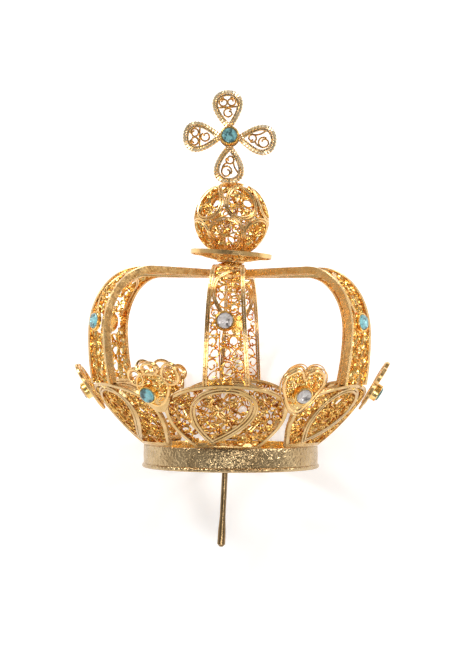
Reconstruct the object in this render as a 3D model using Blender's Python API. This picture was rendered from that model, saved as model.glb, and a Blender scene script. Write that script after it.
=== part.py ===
"""Filigree crown for a small statue, lying on its back, in metres, +Z up.

The crown is built upright about its own axis, with its front towards -Y, below the empty crown_frame.
That empty then lays the whole crown down on its back, where it comes to rest on the band and a petal's tip.
"""

import math

import bmesh
import bpy
from mathutils import Matrix, Vector, geometry

# Band
BAND_RADIUS = 0.0175
BAND_HEIGHT = 0.0046
BAND_WALL = 0.0007
RIM_HEIGHT = 0.0007
RIM_PROUD = 0.0003
BAND_SIDES = 36

# Crossbar and pin inside the band
BAR_WIDTH = 0.0030
BAR_THICKNESS = 0.0010
BAR_HEIGHT = 0.0020
PIN_RADIUS = 0.0006
PIN_TIP_RADIUS = 0.0008
PIN_LENGTH = 0.0180
PIN_LEAN = math.radians(2.6)
PIN_SHIFT = -0.0010
PIN_HEAD_RADIUS = 0.0012
PIN_HEAD_HEIGHT = 0.0006
PIN_BEVEL = 0.0005

# Sheet filigree and its joints
SHEET = 0.0008
RAIL = 0.0009
SOLDER_GAP = 0.0003
STONE_GAP = 0.0001
CUP_GAP = 0.0002
SLIVER_AREA = 1e-11

# Petals of the bowl
PETALS = 6
BOWL_TOP_RADIUS = 0.0281
BOWL_RISE = 0.0127
BOWL_BULGE = 0.0007
PETAL_FOOT_ANGLE = math.radians(20.5)
PETAL_WIDE_ANGLE = math.radians(28.6)
PETAL_WIDE_SHARE = 0.50
PETAL_TIP_POWER = 2.6
TEARDROP_SIDE_MARGIN = 0.0038
TEARDROP_END_MARGIN = 0.0019
TEARDROP_TAPER = 0.5
TEARDROP_EYE_SHARE = 0.66
PETAL_OUTER_HOLES = 9
PETAL_INNER_HOLES = 4
PETAL_BRIDGE = 0.0007

# Arches
ARCH_FLARE = 0.0009
ARCH_RISE = 0.0220
ARCH_BEND_RADIUS = 0.0099
ARCH_BEND_HEIGHT = 0.0120
ARCH_TOP_DIP = 0.0004
ARCH_END_RADIUS = 0.0044
ARCH_FOOT_WIDTH = 0.0087
ARCH_SHOULDER_WIDTH = 0.0066
ARCH_SHOULDER_DROP = 0.0020
ARCH_END_WIDTH = 0.0040
ARCH_HOLES_BELOW = 2
ARCH_HOLES_ABOVE = 5
ARCH_BRIDGE = 0.0008
ARCH_STONE_RISE = 0.0117
ARCH_SEAT_EDGE = 0.0002

# Florets
FLORET_CLEAR = 0.00115
FLORET_DROP = 0.0013
FLORET_LEAN = math.radians(32.0)
FLORET_BODY = 0.0028
FLORET_SIDES = 26
FLORET_TAB = 0.0046
FLORET_TAB_SPREAD = math.radians(52.0)
LOBE_ROUNDNESS = 0.6
LOOP_LOBE = 0.0060
LOOP_SIDE_ANGLE = math.radians(52.0)
LOOP_SIDE_SPREAD = math.radians(30.0)
LOOP_TOP_SPREAD = math.radians(24.0)
LOOP_SIDE_EYE_REACH = 0.0039
LOOP_SIDE_EYE_HALF_WIDTH = 0.0010
LOOP_SIDE_EYE_HALF_LENGTH = 0.0012
LOOP_TOP_EYE_REACH = 0.0043
LOOP_TOP_EYE_HALF_WIDTH = 0.0009
LOOP_TOP_EYE_HALF_LENGTH = 0.0007
HEART_LOBE = 0.0055
HEART_SIDE_ANGLE = math.radians(32.0)
HEART_SPREAD = math.radians(44.0)
HEART_EYE_HALF_WIDTH = 0.0007
HEART_EYE_HALF_LENGTH = 0.0008
HEART_UPPER_EYE_REACH = 0.0037
HEART_LOWER_EYE_REACH = 0.0030
HEART_LOWER_EYE_ASIDE = 0.0020

# Stones and their cups
STONE_RADIUS = 0.0015
STONE_CROWN = 0.0004
STONE_BASE_SHARE = 0.80
STONE_TABLE_SHARE = 0.62
STONE_SIDES = 8
CUP_WALL = 0.00025
CUP_FLOOR = 0.0002
CUP_BASE_SHARE = 0.92
ARCH_CUP_DEPTH = 0.0006
FLORET_CUP_DEPTH = 0.0012

# Neck, saucer, globe and cross above the arches
FINIAL_SHIFT = -0.0006
NECK_RADIUS = 0.0010
NECK_COLLAR = 0.0004
NECK_KNOT_RADIUS = 0.0026
NECK_END = 0.0022
NECK_SIDES = 10
SAUCER_RADIUS = 0.0083
SAUCER_RISE = 0.0024
SAUCER_DISH = 0.0007
SAUCER_TILT = math.radians(3.0)
SAUCER_THICKNESS = 0.0006
SAUCER_SIDES = 18
SAUCER_OVALS = 6
SAUCER_OVAL_RING = 0.0053
SAUCER_OVAL_HALF_WIDTH = 0.0014
SAUCER_OVAL_HALF_LENGTH = 0.0017
GLOBE_RADIUS = 0.0075
GLOBE_CLEAR = 0.0007
GLOBE_WALL = 0.0006
GLOBE_SECTORS = 5
GLOBE_FOOT_LATITUDE = math.radians(-75.0)
GLOBE_TOP_LATITUDE = math.radians(79.0)
GLOBE_UPPER_HOLES_LATITUDE = math.radians(34.0)
GLOBE_LOWER_HOLES_LATITUDE = math.radians(-30.0)
GLOBE_HOLE_HALF_HEIGHT = math.radians(24.5)
GLOBE_HOLE_WIDTH_SHARE = 0.76
CROSS_ARM = 0.0090
CROSS_LOOP_RADIUS = 0.0029
CROSS_PLATE = 0.0010
CROSS_TURN = math.radians(-2.0)
CROSS_HUB_RADIUS = 0.0021
CROSS_WAIST_SHARE = 1.05
CROSS_TONGUE_WIDTH = 0.0012
CROSS_TONGUE = 0.0012
CROSS_HOLE_ASIDE = 0.0011
CROSS_HOLE_HALF_WIDTH = 0.00075
CROSS_HOLE_HALF_LENGTH = 0.0016

# Sizes and places that follow from those above
CUP_RADIUS = STONE_RADIUS + STONE_GAP + CUP_WALL
BOWL_TOP_HEIGHT = BAND_HEIGHT + BOWL_RISE
ARCH_SIDE_RADIUS = BOWL_TOP_RADIUS + ARCH_FLARE
ARCH_TOP_HEIGHT = BOWL_TOP_HEIGHT + ARCH_RISE
ARCH_STONE_HEIGHT = BOWL_TOP_HEIGHT + ARCH_STONE_RISE
FLORET_HEIGHT = BOWL_TOP_HEIGHT - FLORET_DROP
SAUCER_HEIGHT = ARCH_TOP_HEIGHT + SAUCER_RISE
GLOBE_HEIGHT = SAUCER_HEIGHT + GLOBE_RADIUS + GLOBE_CLEAR
CROSS_HEIGHT = GLOBE_HEIGHT + GLOBE_RADIUS + SOLDER_GAP + CROSS_ARM

# Colours of the finishes
GILT = (0.80, 0.47, 0.10)
GILT_PALE = (0.62, 0.50, 0.27)
BLUE = (0.10, 0.45, 0.56)
CLEAR = (0.82, 0.80, 0.86)


def clear_scene():
    """Removes every object of the open file."""
    for thing in list(bpy.data.objects):
        bpy.data.objects.remove(thing, do_unlink=True)


def finish(name, colour, roughness, metallic):
    """Makes one plain material."""
    made = bpy.data.materials.new(name)
    made.use_nodes = True
    shader = made.node_tree.nodes["Principled BSDF"]
    shader.inputs["Base Color"].default_value = (*colour, 1.0)
    shader.inputs["Roughness"].default_value = roughness
    shader.inputs["Metallic"].default_value = metallic
    return made


def empty(name, parent=None):
    """Makes an empty that carries other objects."""
    made = bpy.data.objects.new(name, None)
    made.empty_display_size = 0.005
    made.parent = parent
    bpy.context.collection.objects.link(made)
    return made


def add_object(name, mesh, material, parent):
    """Adds an object with its mesh, its finish and its parent."""
    made = bpy.data.objects.new(name, mesh)
    if not mesh.materials:
        mesh.materials.append(material)
    made.parent = parent
    bpy.context.collection.objects.link(made)
    return made


def mesh_from(bm, name, smooth_below=math.radians(40.0)):
    """Turns a bmesh into a mesh that is smooth except at its sharp edges."""
    bm.normal_update()
    mesh = bpy.data.meshes.new(name)
    bm.to_mesh(mesh)
    bm.free()
    mesh.shade_smooth()
    mesh.set_sharp_from_angle(angle=smooth_below)
    return mesh


def sheet_with_holes(outline, holes):
    """Fills a flat outline with triangles around its holes and returns it as a bmesh."""
    points = []
    edges = []
    for loop in [outline, *holes]:
        start = len(points)
        points.extend(Vector(point) for point in loop)
        count = len(loop)
        edges.extend((start + i, start + (i + 1) % count) for i in range(count))
    filled = geometry.delaunay_2d_cdt(points, edges, [], 0, 1e-9, False)
    bm = bmesh.new()
    verts = [bm.verts.new((point.x, point.y, 0.0)) for point in filled[0]]
    for face in filled[2]:
        corners = [filled[0][i] for i in face]
        middle = sum(corners, Vector((0.0, 0.0))) / len(face)
        solid = geometry.area_tri(*corners) > SLIVER_AREA
        if solid and inside(middle, outline) and not any(inside(middle, hole) for hole in holes):
            bm.faces.new([verts[i] for i in face])
    loose = [vert for vert in bm.verts if not vert.link_faces]
    bmesh.ops.delete(bm, geom=loose, context="VERTS")
    return bm


def bend(bm, place):
    """Moves each flat point of a sheet to its place on the piece."""
    for vert in bm.verts:
        vert.co = place(vert.co.x, vert.co.y)


def thicken(thing, thickness, offset=0.0):
    """Gives a sheet its thickness."""
    shell = thing.modifiers.new("sheet", "SOLIDIFY")
    shell.thickness = thickness
    shell.offset = offset
    shell.use_even_offset = False
    return thing


def oval(centre_x, centre_y, half_x, half_y, sides=6, turn=0.0):
    """Gives an oval outline with few sides, turned clockwise about its middle."""
    loop = []
    for i in range(sides):
        angle = 2.0 * math.pi * (i + 0.5) / sides
        along = half_y * math.cos(angle)
        across = half_x * math.sin(angle)
        loop.append((
            centre_x + across * math.cos(turn) + along * math.sin(turn),
            centre_y - across * math.sin(turn) + along * math.cos(turn),
        ))
    return loop


def inside(point, outline):
    """Tells whether a flat point lies inside an outline."""
    crossings = 0
    for (x0, y0), (x1, y1) in zip(outline, outline[1:] + outline[:1]):
        if (y0 > point[1]) != (y1 > point[1]):
            crossings += point[0] < x0 + (point[1] - y0) / (y1 - y0) * (x1 - x0)
    return crossings % 2 == 1


def reach_to(centre, angle, loop):
    """Gives how far an outline lies from a point inside it, in one direction."""
    way = Vector((math.sin(angle), math.cos(angle)))
    far = Vector(centre) + way
    best = 1.0
    for start, end in zip(loop, loop[1:] + loop[:1]):
        met = geometry.intersect_line_line_2d(centre, far, start, end)
        if met is not None:
            best = min(best, (met - Vector(centre)).length)
    return best


def ring_holes(centre, inner, outer, count, bridge):
    """Gives one ring of oval holes around a point; inner and outer give the ring's reach at an angle."""
    holes = []
    for i in range(count):
        angle = 2.0 * math.pi * (i + 0.5) / count
        low = inner(angle)
        high = outer(angle)
        middle = 0.5 * (low + high)
        half_long = 0.5 * (high - low)
        half_wide = middle * math.sin(math.pi / count) - 0.5 * bridge
        if half_long > 0.5 * bridge:
            x = centre[0] + middle * math.sin(angle)
            y = centre[1] + middle * math.cos(angle)
            holes.append(oval(x, y, half_wide, half_long, turn=angle))
    return holes


def flat_point(reach, angle):
    """Gives the flat point at a reach from the middle, its angle counted from across."""
    return (reach * math.cos(angle), reach * math.sin(angle))


def around(angle, radius, height):
    """Gives the point at an angle from the front, a radius and a height."""
    return Vector((radius * math.sin(angle), -radius * math.cos(angle), height))


def turned_to(angle):
    """Gives the rotation that carries the front of the crown to an angle."""
    return Matrix.Rotation(angle, 4, "Z")


class Profile:
    """A chain of points (radius, height) that can be read at any length along it."""

    def __init__(self, points):
        self.points = [Vector(point) for point in points]
        self.lengths = [0.0]
        for start, end in zip(self.points, self.points[1:]):
            self.lengths.append(self.lengths[-1] + (end - start).length)
        self.length = self.lengths[-1]

    def at(self, length):
        """Gives the point at a length along the chain, and past its ends in line with them."""
        i = 0
        while i < len(self.points) - 2 and self.lengths[i + 1] < length:
            i += 1
        share = (length - self.lengths[i]) / (self.lengths[i + 1] - self.lengths[i])
        return self.points[i] + (self.points[i + 1] - self.points[i]) * share

    def length_at_height(self, height):
        """Gives the length at which the chain first reaches a height."""
        for i, end in enumerate(self.points[1:]):
            start = self.points[i]
            if end.y >= height:
                share = (height - start.y) / (end.y - start.y)
                return self.lengths[i] + share * (self.lengths[i + 1] - self.lengths[i])
        return self.length

    def tangent(self, length):
        """Gives the direction along the chain at a length."""
        step = self.length / 200.0
        return (self.at(length + step) - self.at(length - step)).normalized()


def bowl_profile():
    """Gives the section of the bowl, from the top of the band to the tips of the petals."""
    foot = Vector((BAND_RADIUS - BAND_WALL / 2.0, BAND_HEIGHT + SOLDER_GAP))
    tip = Vector((BOWL_TOP_RADIUS, BOWL_TOP_HEIGHT))
    out = Vector((tip.y - foot.y, foot.x - tip.x)).normalized()
    points = []
    steps = 12
    for i in range(steps + 1):
        share = i / steps
        bulge = 4.0 * BOWL_BULGE * share * (1.0 - share)
        points.append(foot.lerp(tip, share) + out * bulge)
    return Profile(points)


def arch_profile():
    """Gives the section of an arch: a leaning side, a round shoulder and a flat top."""
    foot_height = BOWL_TOP_HEIGHT + SOLDER_GAP + SHEET / 2.0
    centre_radius = ARCH_SIDE_RADIUS - ARCH_BEND_RADIUS
    centre_height = ARCH_TOP_HEIGHT - ARCH_BEND_HEIGHT
    points = []
    side_steps = 4
    for i in range(side_steps):
        share = i / side_steps
        inset = ARCH_FLARE * (1.0 - share) ** 2
        points.append((ARCH_SIDE_RADIUS - inset, foot_height + share * (centre_height - foot_height)))
    bend_steps = 14
    for i in range(bend_steps + 1):
        angle = 0.5 * math.pi * i / bend_steps
        points.append((
            centre_radius + ARCH_BEND_RADIUS * math.cos(angle),
            centre_height + ARCH_BEND_HEIGHT * math.sin(angle),
        ))
    top_steps = 4
    for i in range(1, top_steps + 1):
        share = i / top_steps
        radius = centre_radius + share * (ARCH_END_RADIUS - centre_radius)
        points.append((radius, ARCH_TOP_HEIGHT - ARCH_TOP_DIP * share))
    return Profile(points)


BOWL = bowl_profile()
ARCH = arch_profile()


def petal_half_width(length):
    """Gives half the width of a petal at a length up the bowl."""
    share = min(1.0, max(0.0, length / BOWL.length))
    if share < PETAL_WIDE_SHARE:
        swell = math.sin(0.5 * math.pi * share / PETAL_WIDE_SHARE)
        angle = PETAL_FOOT_ANGLE + (PETAL_WIDE_ANGLE - PETAL_FOOT_ANGLE) * swell
    else:
        past = (share - PETAL_WIDE_SHARE) / (1.0 - PETAL_WIDE_SHARE)
        angle = PETAL_WIDE_ANGLE * math.sqrt(max(0.0, 1.0 - past ** PETAL_TIP_POWER))
    return angle * BOWL.at(length).x


def petal_outline():
    """Gives the flat outline of a petal: narrow at the band, wide above it, round at the tip."""
    right = []
    steps = 9
    for i in range(steps + 1):
        share = math.sin(0.5 * math.pi * i / steps)
        length = share * BOWL.length
        right.append((petal_half_width(length), length))
    left = [(-x, y) for x, y in reversed(right[:-1])]
    foot = [(0.0, 0.0)]
    return right + left + foot


def teardrop():
    """Gives the inner frame of a petal, a teardrop with its point near the band."""
    points = []
    steps = 16
    length = BOWL.length - 2.0 * TEARDROP_END_MARGIN
    half_width = petal_half_width(PETAL_WIDE_SHARE * BOWL.length) - TEARDROP_SIDE_MARGIN
    for i in range(steps):
        angle = math.pi * (2.0 * i / steps - 1.0)
        share = 0.5 * (1.0 + math.cos(angle))
        across = half_width * math.sin(angle) * share ** TEARDROP_TAPER
        points.append((across, TEARDROP_END_MARGIN + share * length))
    return points


def place_on_bowl(across, along):
    """Carries a flat point of a petal onto the bowl."""
    point = BOWL.at(along)
    return around(across / point.x, point.x, point.y)


def petal_mesh():
    """Makes the openwork sheet of one petal at the front of the crown."""
    outline = petal_outline()
    drop = teardrop()
    low = TEARDROP_END_MARGIN
    high = BOWL.length - TEARDROP_END_MARGIN
    centre = (0.0, low + TEARDROP_EYE_SHARE * (high - low))

    def drop_inside(angle):
        return reach_to(centre, angle, drop) - RAIL / 2.0

    def drop_outside(angle):
        return reach_to(centre, angle, drop) + RAIL / 2.0

    def rim_inside(angle):
        return reach_to(centre, angle, outline) - RAIL

    holes = ring_holes(centre, drop_outside, rim_inside, PETAL_OUTER_HOLES, PETAL_BRIDGE)
    holes += ring_holes(centre, lambda angle: RAIL, drop_inside, PETAL_INNER_HOLES, PETAL_BRIDGE)
    bm = sheet_with_holes(outline, holes)
    bend(bm, place_on_bowl)
    return mesh_from(bm, "petal")


def arch_half_width(length):
    """Gives half the width of an arch at a length up from its foot."""
    shoulder = ARCH.length_at_height(ARCH_TOP_HEIGHT - ARCH_SHOULDER_DROP)
    if length < shoulder:
        return 0.5 * (ARCH_FOOT_WIDTH + (ARCH_SHOULDER_WIDTH - ARCH_FOOT_WIDTH) * length / shoulder)
    past = (length - shoulder) / (ARCH.length - shoulder)
    return 0.5 * (ARCH_SHOULDER_WIDTH + (ARCH_END_WIDTH - ARCH_SHOULDER_WIDTH) * past)


def arch_outline():
    """Gives the flat outline of an arch, from its foot to its end at the neck."""
    right = [(arch_half_width(length), length) for length in ARCH.lengths[::2]]
    return right + [(-x, y) for x, y in reversed(right)]


def arch_holes():
    """Gives pairs of leaf-shaped holes along an arch, clear of the stone's seat."""
    stone_at = ARCH.length_at_height(ARCH_STONE_HEIGHT)
    seat = CUP_RADIUS + ARCH_SEAT_EDGE
    stretches = [
        (RAIL, stone_at - seat, ARCH_HOLES_BELOW),
        (stone_at + seat, ARCH.length - RAIL, ARCH_HOLES_ABOVE),
    ]
    holes = []
    for start, end, pairs in stretches:
        cell = (end - start) / pairs
        for i in range(pairs):
            middle = start + (i + 0.5) * cell
            half_long = 0.5 * (cell - ARCH_BRIDGE)
            inner = arch_half_width(middle) - RAIL
            half_wide = 0.5 * (inner - 0.5 * ARCH_BRIDGE)
            across = 0.5 * ARCH_BRIDGE + half_wide
            for side in (-1.0, 1.0):
                holes.append(oval(side * across, middle, half_wide, side * half_long, sides=5))
    return holes


def place_on_arch(across, along):
    """Carries a flat point of an arch onto the front arch."""
    point = ARCH.at(along)
    return Vector((across, -point.x, point.y))


def arch_mesh():
    """Makes the openwork sheet of one arch at the front of the crown."""
    bm = sheet_with_holes(arch_outline(), arch_holes())
    bend(bm, place_on_arch)
    return mesh_from(bm, "arch")


def lobed_outline(lobes):
    """Gives the flat outline of a floret: a round body and its tab, with lobes (angle, reach, spread)."""
    up = 0.5 * math.pi
    outline = []
    for i in range(FLORET_SIDES):
        angle = -up + 2.0 * math.pi * i / FLORET_SIDES
        reach = FLORET_BODY
        for middle, lobe_reach, spread in [(math.pi, FLORET_TAB, FLORET_TAB_SPREAD), *lobes]:
            apart = abs((angle - up - middle + math.pi) % (2.0 * math.pi) - math.pi)
            if apart < spread:
                swell = math.cos(0.5 * math.pi * apart / spread) ** LOBE_ROUNDNESS
                reach = max(reach, FLORET_BODY + (lobe_reach - FLORET_BODY) * swell)
        outline.append(flat_point(reach, angle))
    return outline


def eye(turn, reach, half_width, half_length, aside=0.0):
    """Gives an oval hole at an angle from straight up and a reach from the stone; aside moves it outwards."""
    outwards = math.copysign(aside, turn)
    x = reach * math.sin(turn) + outwards * math.cos(turn)
    y = reach * math.cos(turn) - outwards * math.sin(turn)
    return oval(x, y, half_width, half_length, turn=turn)


def floret_middle():
    """Gives the place of the front floret's stone, its tab's foot just clear of the bowl's slope."""
    foot_height = FLORET_HEIGHT - FLORET_TAB * math.cos(FLORET_LEAN)
    bowl_radius = BOWL.at(BOWL.length_at_height(foot_height)).x
    radius = bowl_radius + FLORET_CLEAR + FLORET_TAB * math.sin(FLORET_LEAN)
    return Vector((0.0, -radius, FLORET_HEIGHT))


def loops_shape():
    """Gives the outline and the holes of a floret with three open loops."""
    lobes = [(0.0, LOOP_LOBE, LOOP_TOP_SPREAD)]
    holes = [eye(0.0, LOOP_TOP_EYE_REACH, LOOP_TOP_EYE_HALF_WIDTH, LOOP_TOP_EYE_HALF_LENGTH)]
    for turn in (-LOOP_SIDE_ANGLE, LOOP_SIDE_ANGLE):
        lobes.append((turn, LOOP_LOBE, LOOP_SIDE_SPREAD))
        holes.append(eye(turn, LOOP_SIDE_EYE_REACH, LOOP_SIDE_EYE_HALF_WIDTH, LOOP_SIDE_EYE_HALF_LENGTH))
    return lobed_outline(lobes), holes


def heart_shape():
    """Gives the outline and the holes of a heart-shaped floret."""
    lobes = []
    holes = []
    for turn in (-HEART_SIDE_ANGLE, HEART_SIDE_ANGLE):
        lobes.append((turn, HEART_LOBE, HEART_SPREAD))
        holes.append(eye(turn, HEART_UPPER_EYE_REACH, HEART_EYE_HALF_WIDTH, HEART_EYE_HALF_LENGTH))
        holes.append(eye(turn, HEART_LOWER_EYE_REACH, HEART_EYE_HALF_WIDTH, HEART_EYE_HALF_LENGTH,
                         aside=HEART_LOWER_EYE_ASIDE))
    return lobed_outline(lobes), holes


def floret_mesh(name, shape):
    """Makes the upright flat sheet of one floret, with its stone's place at the middle."""
    outline, holes = shape
    bm = sheet_with_holes(outline, holes)
    bend(bm, lambda across, along: Vector((across, 0.0, along)))
    return mesh_from(bm, name)


def ring_of(bm, radius, height, sides):
    """Adds one ring of points about the Z axis."""
    ring = []
    for i in range(sides):
        angle = 2.0 * math.pi * (i + 0.5) / sides
        ring.append(bm.verts.new((radius * math.cos(angle), radius * math.sin(angle), height)))
    return ring


def turned_solid(name, rings, sides, smooth_below=math.radians(40.0)):
    """Makes a closed solid from rings (radius, height), the first and last of them capped."""
    bm = bmesh.new()
    made = [ring_of(bm, radius, height, sides) for radius, height in rings]
    bm.faces.new(list(reversed(made[0])))
    for low, high in zip(made, made[1:]):
        for i in range(sides):
            j = (i + 1) % sides
            bm.faces.new((low[i], low[j], high[j], high[i]))
    bm.faces.new(made[-1])
    bmesh.ops.recalc_face_normals(bm, faces=bm.faces)
    return mesh_from(bm, name, smooth_below)


def cup_mesh(depth):
    """Makes a stone's cup, open towards +Z, standing on Z = 0."""
    inner = CUP_RADIUS - CUP_WALL
    rings = [
        (CUP_RADIUS * CUP_BASE_SHARE, 0.0),
        (CUP_RADIUS, depth),
        (inner, depth),
        (inner * CUP_BASE_SHARE, CUP_FLOOR),
    ]
    return turned_solid("cup", rings, STONE_SIDES)


def stone_mesh(depth):
    """Makes a faceted stone with its girdle at the cup's edge."""
    rings = [
        (STONE_RADIUS * STONE_BASE_SHARE, CUP_FLOOR + STONE_GAP),
        (STONE_RADIUS, depth),
        (STONE_RADIUS * STONE_TABLE_SHARE, depth + STONE_CROWN),
    ]
    return turned_solid("stone", rings, STONE_SIDES, smooth_below=math.radians(5.0))


def seat_on(middle, outward, up):
    """Gives the matrix that sets +Z outward and +Y up at a point."""
    z_axis = outward.normalized()
    x_axis = up.cross(z_axis).normalized()
    y_axis = z_axis.cross(x_axis)
    turn = Matrix((x_axis, y_axis, z_axis)).transposed().to_4x4()
    return Matrix.Translation(middle) @ turn


def add_jewel(prefix, number, seat, cup, stone, finishes, colour, parent):
    """Adds one cup and its stone on a seat."""
    suffix = "" if number is None else "_" + str(number)
    cup_thing = add_object(prefix + "_cup" + suffix, cup, finishes["gilt"], parent)
    cup_thing.matrix_local = seat
    stone_thing = add_object(prefix + "_stone" + suffix, stone.copy(), finishes[colour], parent)
    stone_thing.data.materials.clear()
    stone_thing.data.materials.append(finishes[colour])
    stone_thing.matrix_local = seat


def add_band(finishes, parent):
    """Adds the plain band with its rolled lower edge."""
    bm = bmesh.new()
    rim = BAND_RADIUS + RIM_PROUD
    inner = BAND_RADIUS - BAND_WALL
    section = [
        (inner, 0.0), (rim, 0.0), (rim, RIM_HEIGHT), (BAND_RADIUS, RIM_HEIGHT + RIM_PROUD),
        (BAND_RADIUS, BAND_HEIGHT), (inner, BAND_HEIGHT),
    ]
    rings = [ring_of(bm, radius, height, BAND_SIDES) for radius, height in section]
    for low, high in zip(rings, rings[1:] + rings[:1]):
        for i in range(BAND_SIDES):
            j = (i + 1) % BAND_SIDES
            bm.faces.new((low[i], low[j], high[j], high[i]))
    bmesh.ops.recalc_face_normals(bm, faces=bm.faces)
    add_object("band", mesh_from(bm, "band"), finishes["pale"], parent)


def add_crossbar(finishes, parent):
    """Adds the strip across the band that carries the pin, with a hole for the pin."""
    reach = BAND_RADIUS - BAND_WALL - SOLDER_GAP
    half = BAR_WIDTH / 2.0
    end_angle = math.asin(half / reach)
    outline = []
    for turn in (0.0, math.pi):
        for i in range(5):
            outline.append(flat_point(reach, turn + end_angle * (i - 2) / 2.0))
    hole_radius = PIN_RADIUS + STONE_GAP
    bm = sheet_with_holes(outline, [oval(PIN_SHIFT, 0.0, hole_radius, hole_radius, sides=12)])
    bend(bm, lambda across, along: Vector((across, along, BAR_HEIGHT)))
    bar = add_object("crossbar", mesh_from(bm, "crossbar"), finishes["pale"], parent)
    thicken(bar, BAR_THICKNESS)


def add_pin(finishes, parent):
    """Adds the pin below the crossbar, with a riveted head above it."""
    top = BAR_THICKNESS / 2.0 + STONE_GAP
    rings = [
        (PIN_TIP_RADIUS - PIN_BEVEL, -PIN_LENGTH), (PIN_TIP_RADIUS, -PIN_LENGTH + PIN_BEVEL),
        (PIN_TIP_RADIUS, -PIN_LENGTH + 0.0030), (PIN_RADIUS, -PIN_LENGTH + 0.0060), (PIN_RADIUS, top),
        (PIN_HEAD_RADIUS, top), (PIN_HEAD_RADIUS * 0.8, top + PIN_HEAD_HEIGHT),
    ]
    mesh = turned_solid("pin", rings, 8)
    pin = add_object("pin", mesh, finishes["pale"], parent)
    pin.location = (PIN_SHIFT, 0.0, BAR_HEIGHT)
    pin.rotation_euler = (0.0, PIN_LEAN, 0.0)


def add_petals_and_arches(finishes, parent):
    """Adds the petals of the bowl and the arches above them, with a stone on each arch."""
    petal = petal_mesh()
    arch = arch_mesh()
    cup = cup_mesh(ARCH_CUP_DEPTH)
    stone = stone_mesh(ARCH_CUP_DEPTH)
    stone_at = ARCH.length_at_height(ARCH_STONE_HEIGHT)
    point = ARCH.at(stone_at)
    along = ARCH.tangent(stone_at)
    outward = Vector((0.0, -along.y, -along.x))
    middle = Vector((0.0, -point.x, point.y)) + outward * (SHEET / 2.0 + CUP_GAP)
    seat = seat_on(middle, outward, Vector((0.0, 0.0, 1.0)))
    for i in range(PETALS):
        turn = turned_to(2.0 * math.pi * i / PETALS)
        number = i + 1
        leaf = add_object("petal_" + str(number), petal, finishes["gilt"], parent)
        leaf.matrix_local = turn
        thicken(leaf, SHEET)
        bow = add_object("arch_" + str(number), arch, finishes["gilt"], parent)
        bow.matrix_local = turn
        thicken(bow, SHEET)
        colour = "blue" if i % 2 else "clear"
        add_jewel("arch", number, turn @ seat, cup, stone, finishes, colour, parent)


def add_florets(finishes, parent):
    """Adds the florets between the arches, leaning outwards, with a stone on each."""
    meshes = [floret_mesh("heart", heart_shape()), floret_mesh("loops", loops_shape())]
    cup = cup_mesh(FLORET_CUP_DEPTH)
    stone = stone_mesh(FLORET_CUP_DEPTH)
    outward = Vector((0.0, -math.cos(FLORET_LEAN), -math.sin(FLORET_LEAN)))
    middle = floret_middle()
    lean = Matrix.Translation(middle) @ Matrix.Rotation(FLORET_LEAN, 4, "X")
    seat = seat_on(middle + outward * (SHEET / 2.0 + CUP_GAP), outward, Vector((0.0, 0.0, 1.0)))
    for i in range(PETALS):
        turn = turned_to(2.0 * math.pi * (i + 0.5) / PETALS)
        number = i + 1
        thing = add_object("floret_" + str(number), meshes[i % 2], finishes["gilt"], parent)
        thing.matrix_local = turn @ lean
        thicken(thing, SHEET)
        colour = "blue" if i % 2 else "clear"
        add_jewel("floret", number, turn @ seat, cup, stone, finishes, colour, parent)


def add_neck(finishes, parent):
    """Adds the turned neck from between the arches' ends up into the globe."""
    hub = ARCH_END_RADIUS - abs(FINIAL_SHIFT) - 2.0 * SOLDER_GAP
    base = ARCH_TOP_HEIGHT - ARCH_TOP_DIP
    under_saucer = SAUCER_HEIGHT - SAUCER_THICKNESS / 2.0 - SOLDER_GAP
    rings = [
        (hub - NECK_COLLAR, base - 2.0 * NECK_COLLAR),
        (hub, base - NECK_COLLAR),
        (hub, base + NECK_COLLAR),
        (NECK_RADIUS, base + 2.0 * NECK_COLLAR),
        (NECK_KNOT_RADIUS, base + 3.0 * NECK_COLLAR),
        (NECK_KNOT_RADIUS, under_saucer - NECK_COLLAR),
        (NECK_RADIUS, under_saucer),
        (NECK_RADIUS, SAUCER_HEIGHT + NECK_END),
    ]
    add_object("neck", turned_solid("neck", rings, NECK_SIDES), finishes["gilt"], parent)


def add_saucer(finishes, parent):
    """Adds the thin dished plate below the globe, with a ring of oval openings."""
    outline = oval(0.0, 0.0, SAUCER_RADIUS, SAUCER_RADIUS, sides=SAUCER_SIDES)
    hole = NECK_RADIUS + SOLDER_GAP
    holes = [oval(0.0, 0.0, hole, hole, sides=NECK_SIDES)]
    for i in range(SAUCER_OVALS):
        angle = 2.0 * math.pi * i / SAUCER_OVALS
        x = SAUCER_OVAL_RING * math.sin(angle)
        y = SAUCER_OVAL_RING * math.cos(angle)
        holes.append(oval(x, y, SAUCER_OVAL_HALF_WIDTH, SAUCER_OVAL_HALF_LENGTH, sides=5, turn=angle))
    bm = sheet_with_holes(outline, holes)

    def dish(across, along):
        away = math.hypot(across, along) / SAUCER_RADIUS
        return Vector((across, along, SAUCER_DISH * away * away))

    bend(bm, dish)
    plate = add_object("saucer", mesh_from(bm, "saucer"), finishes["gilt"], parent)
    plate.location = (0.0, 0.0, SAUCER_HEIGHT)
    plate.rotation_euler = (0.0, SAUCER_TILT, 0.0)
    thicken(plate, SAUCER_THICKNESS)


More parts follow.
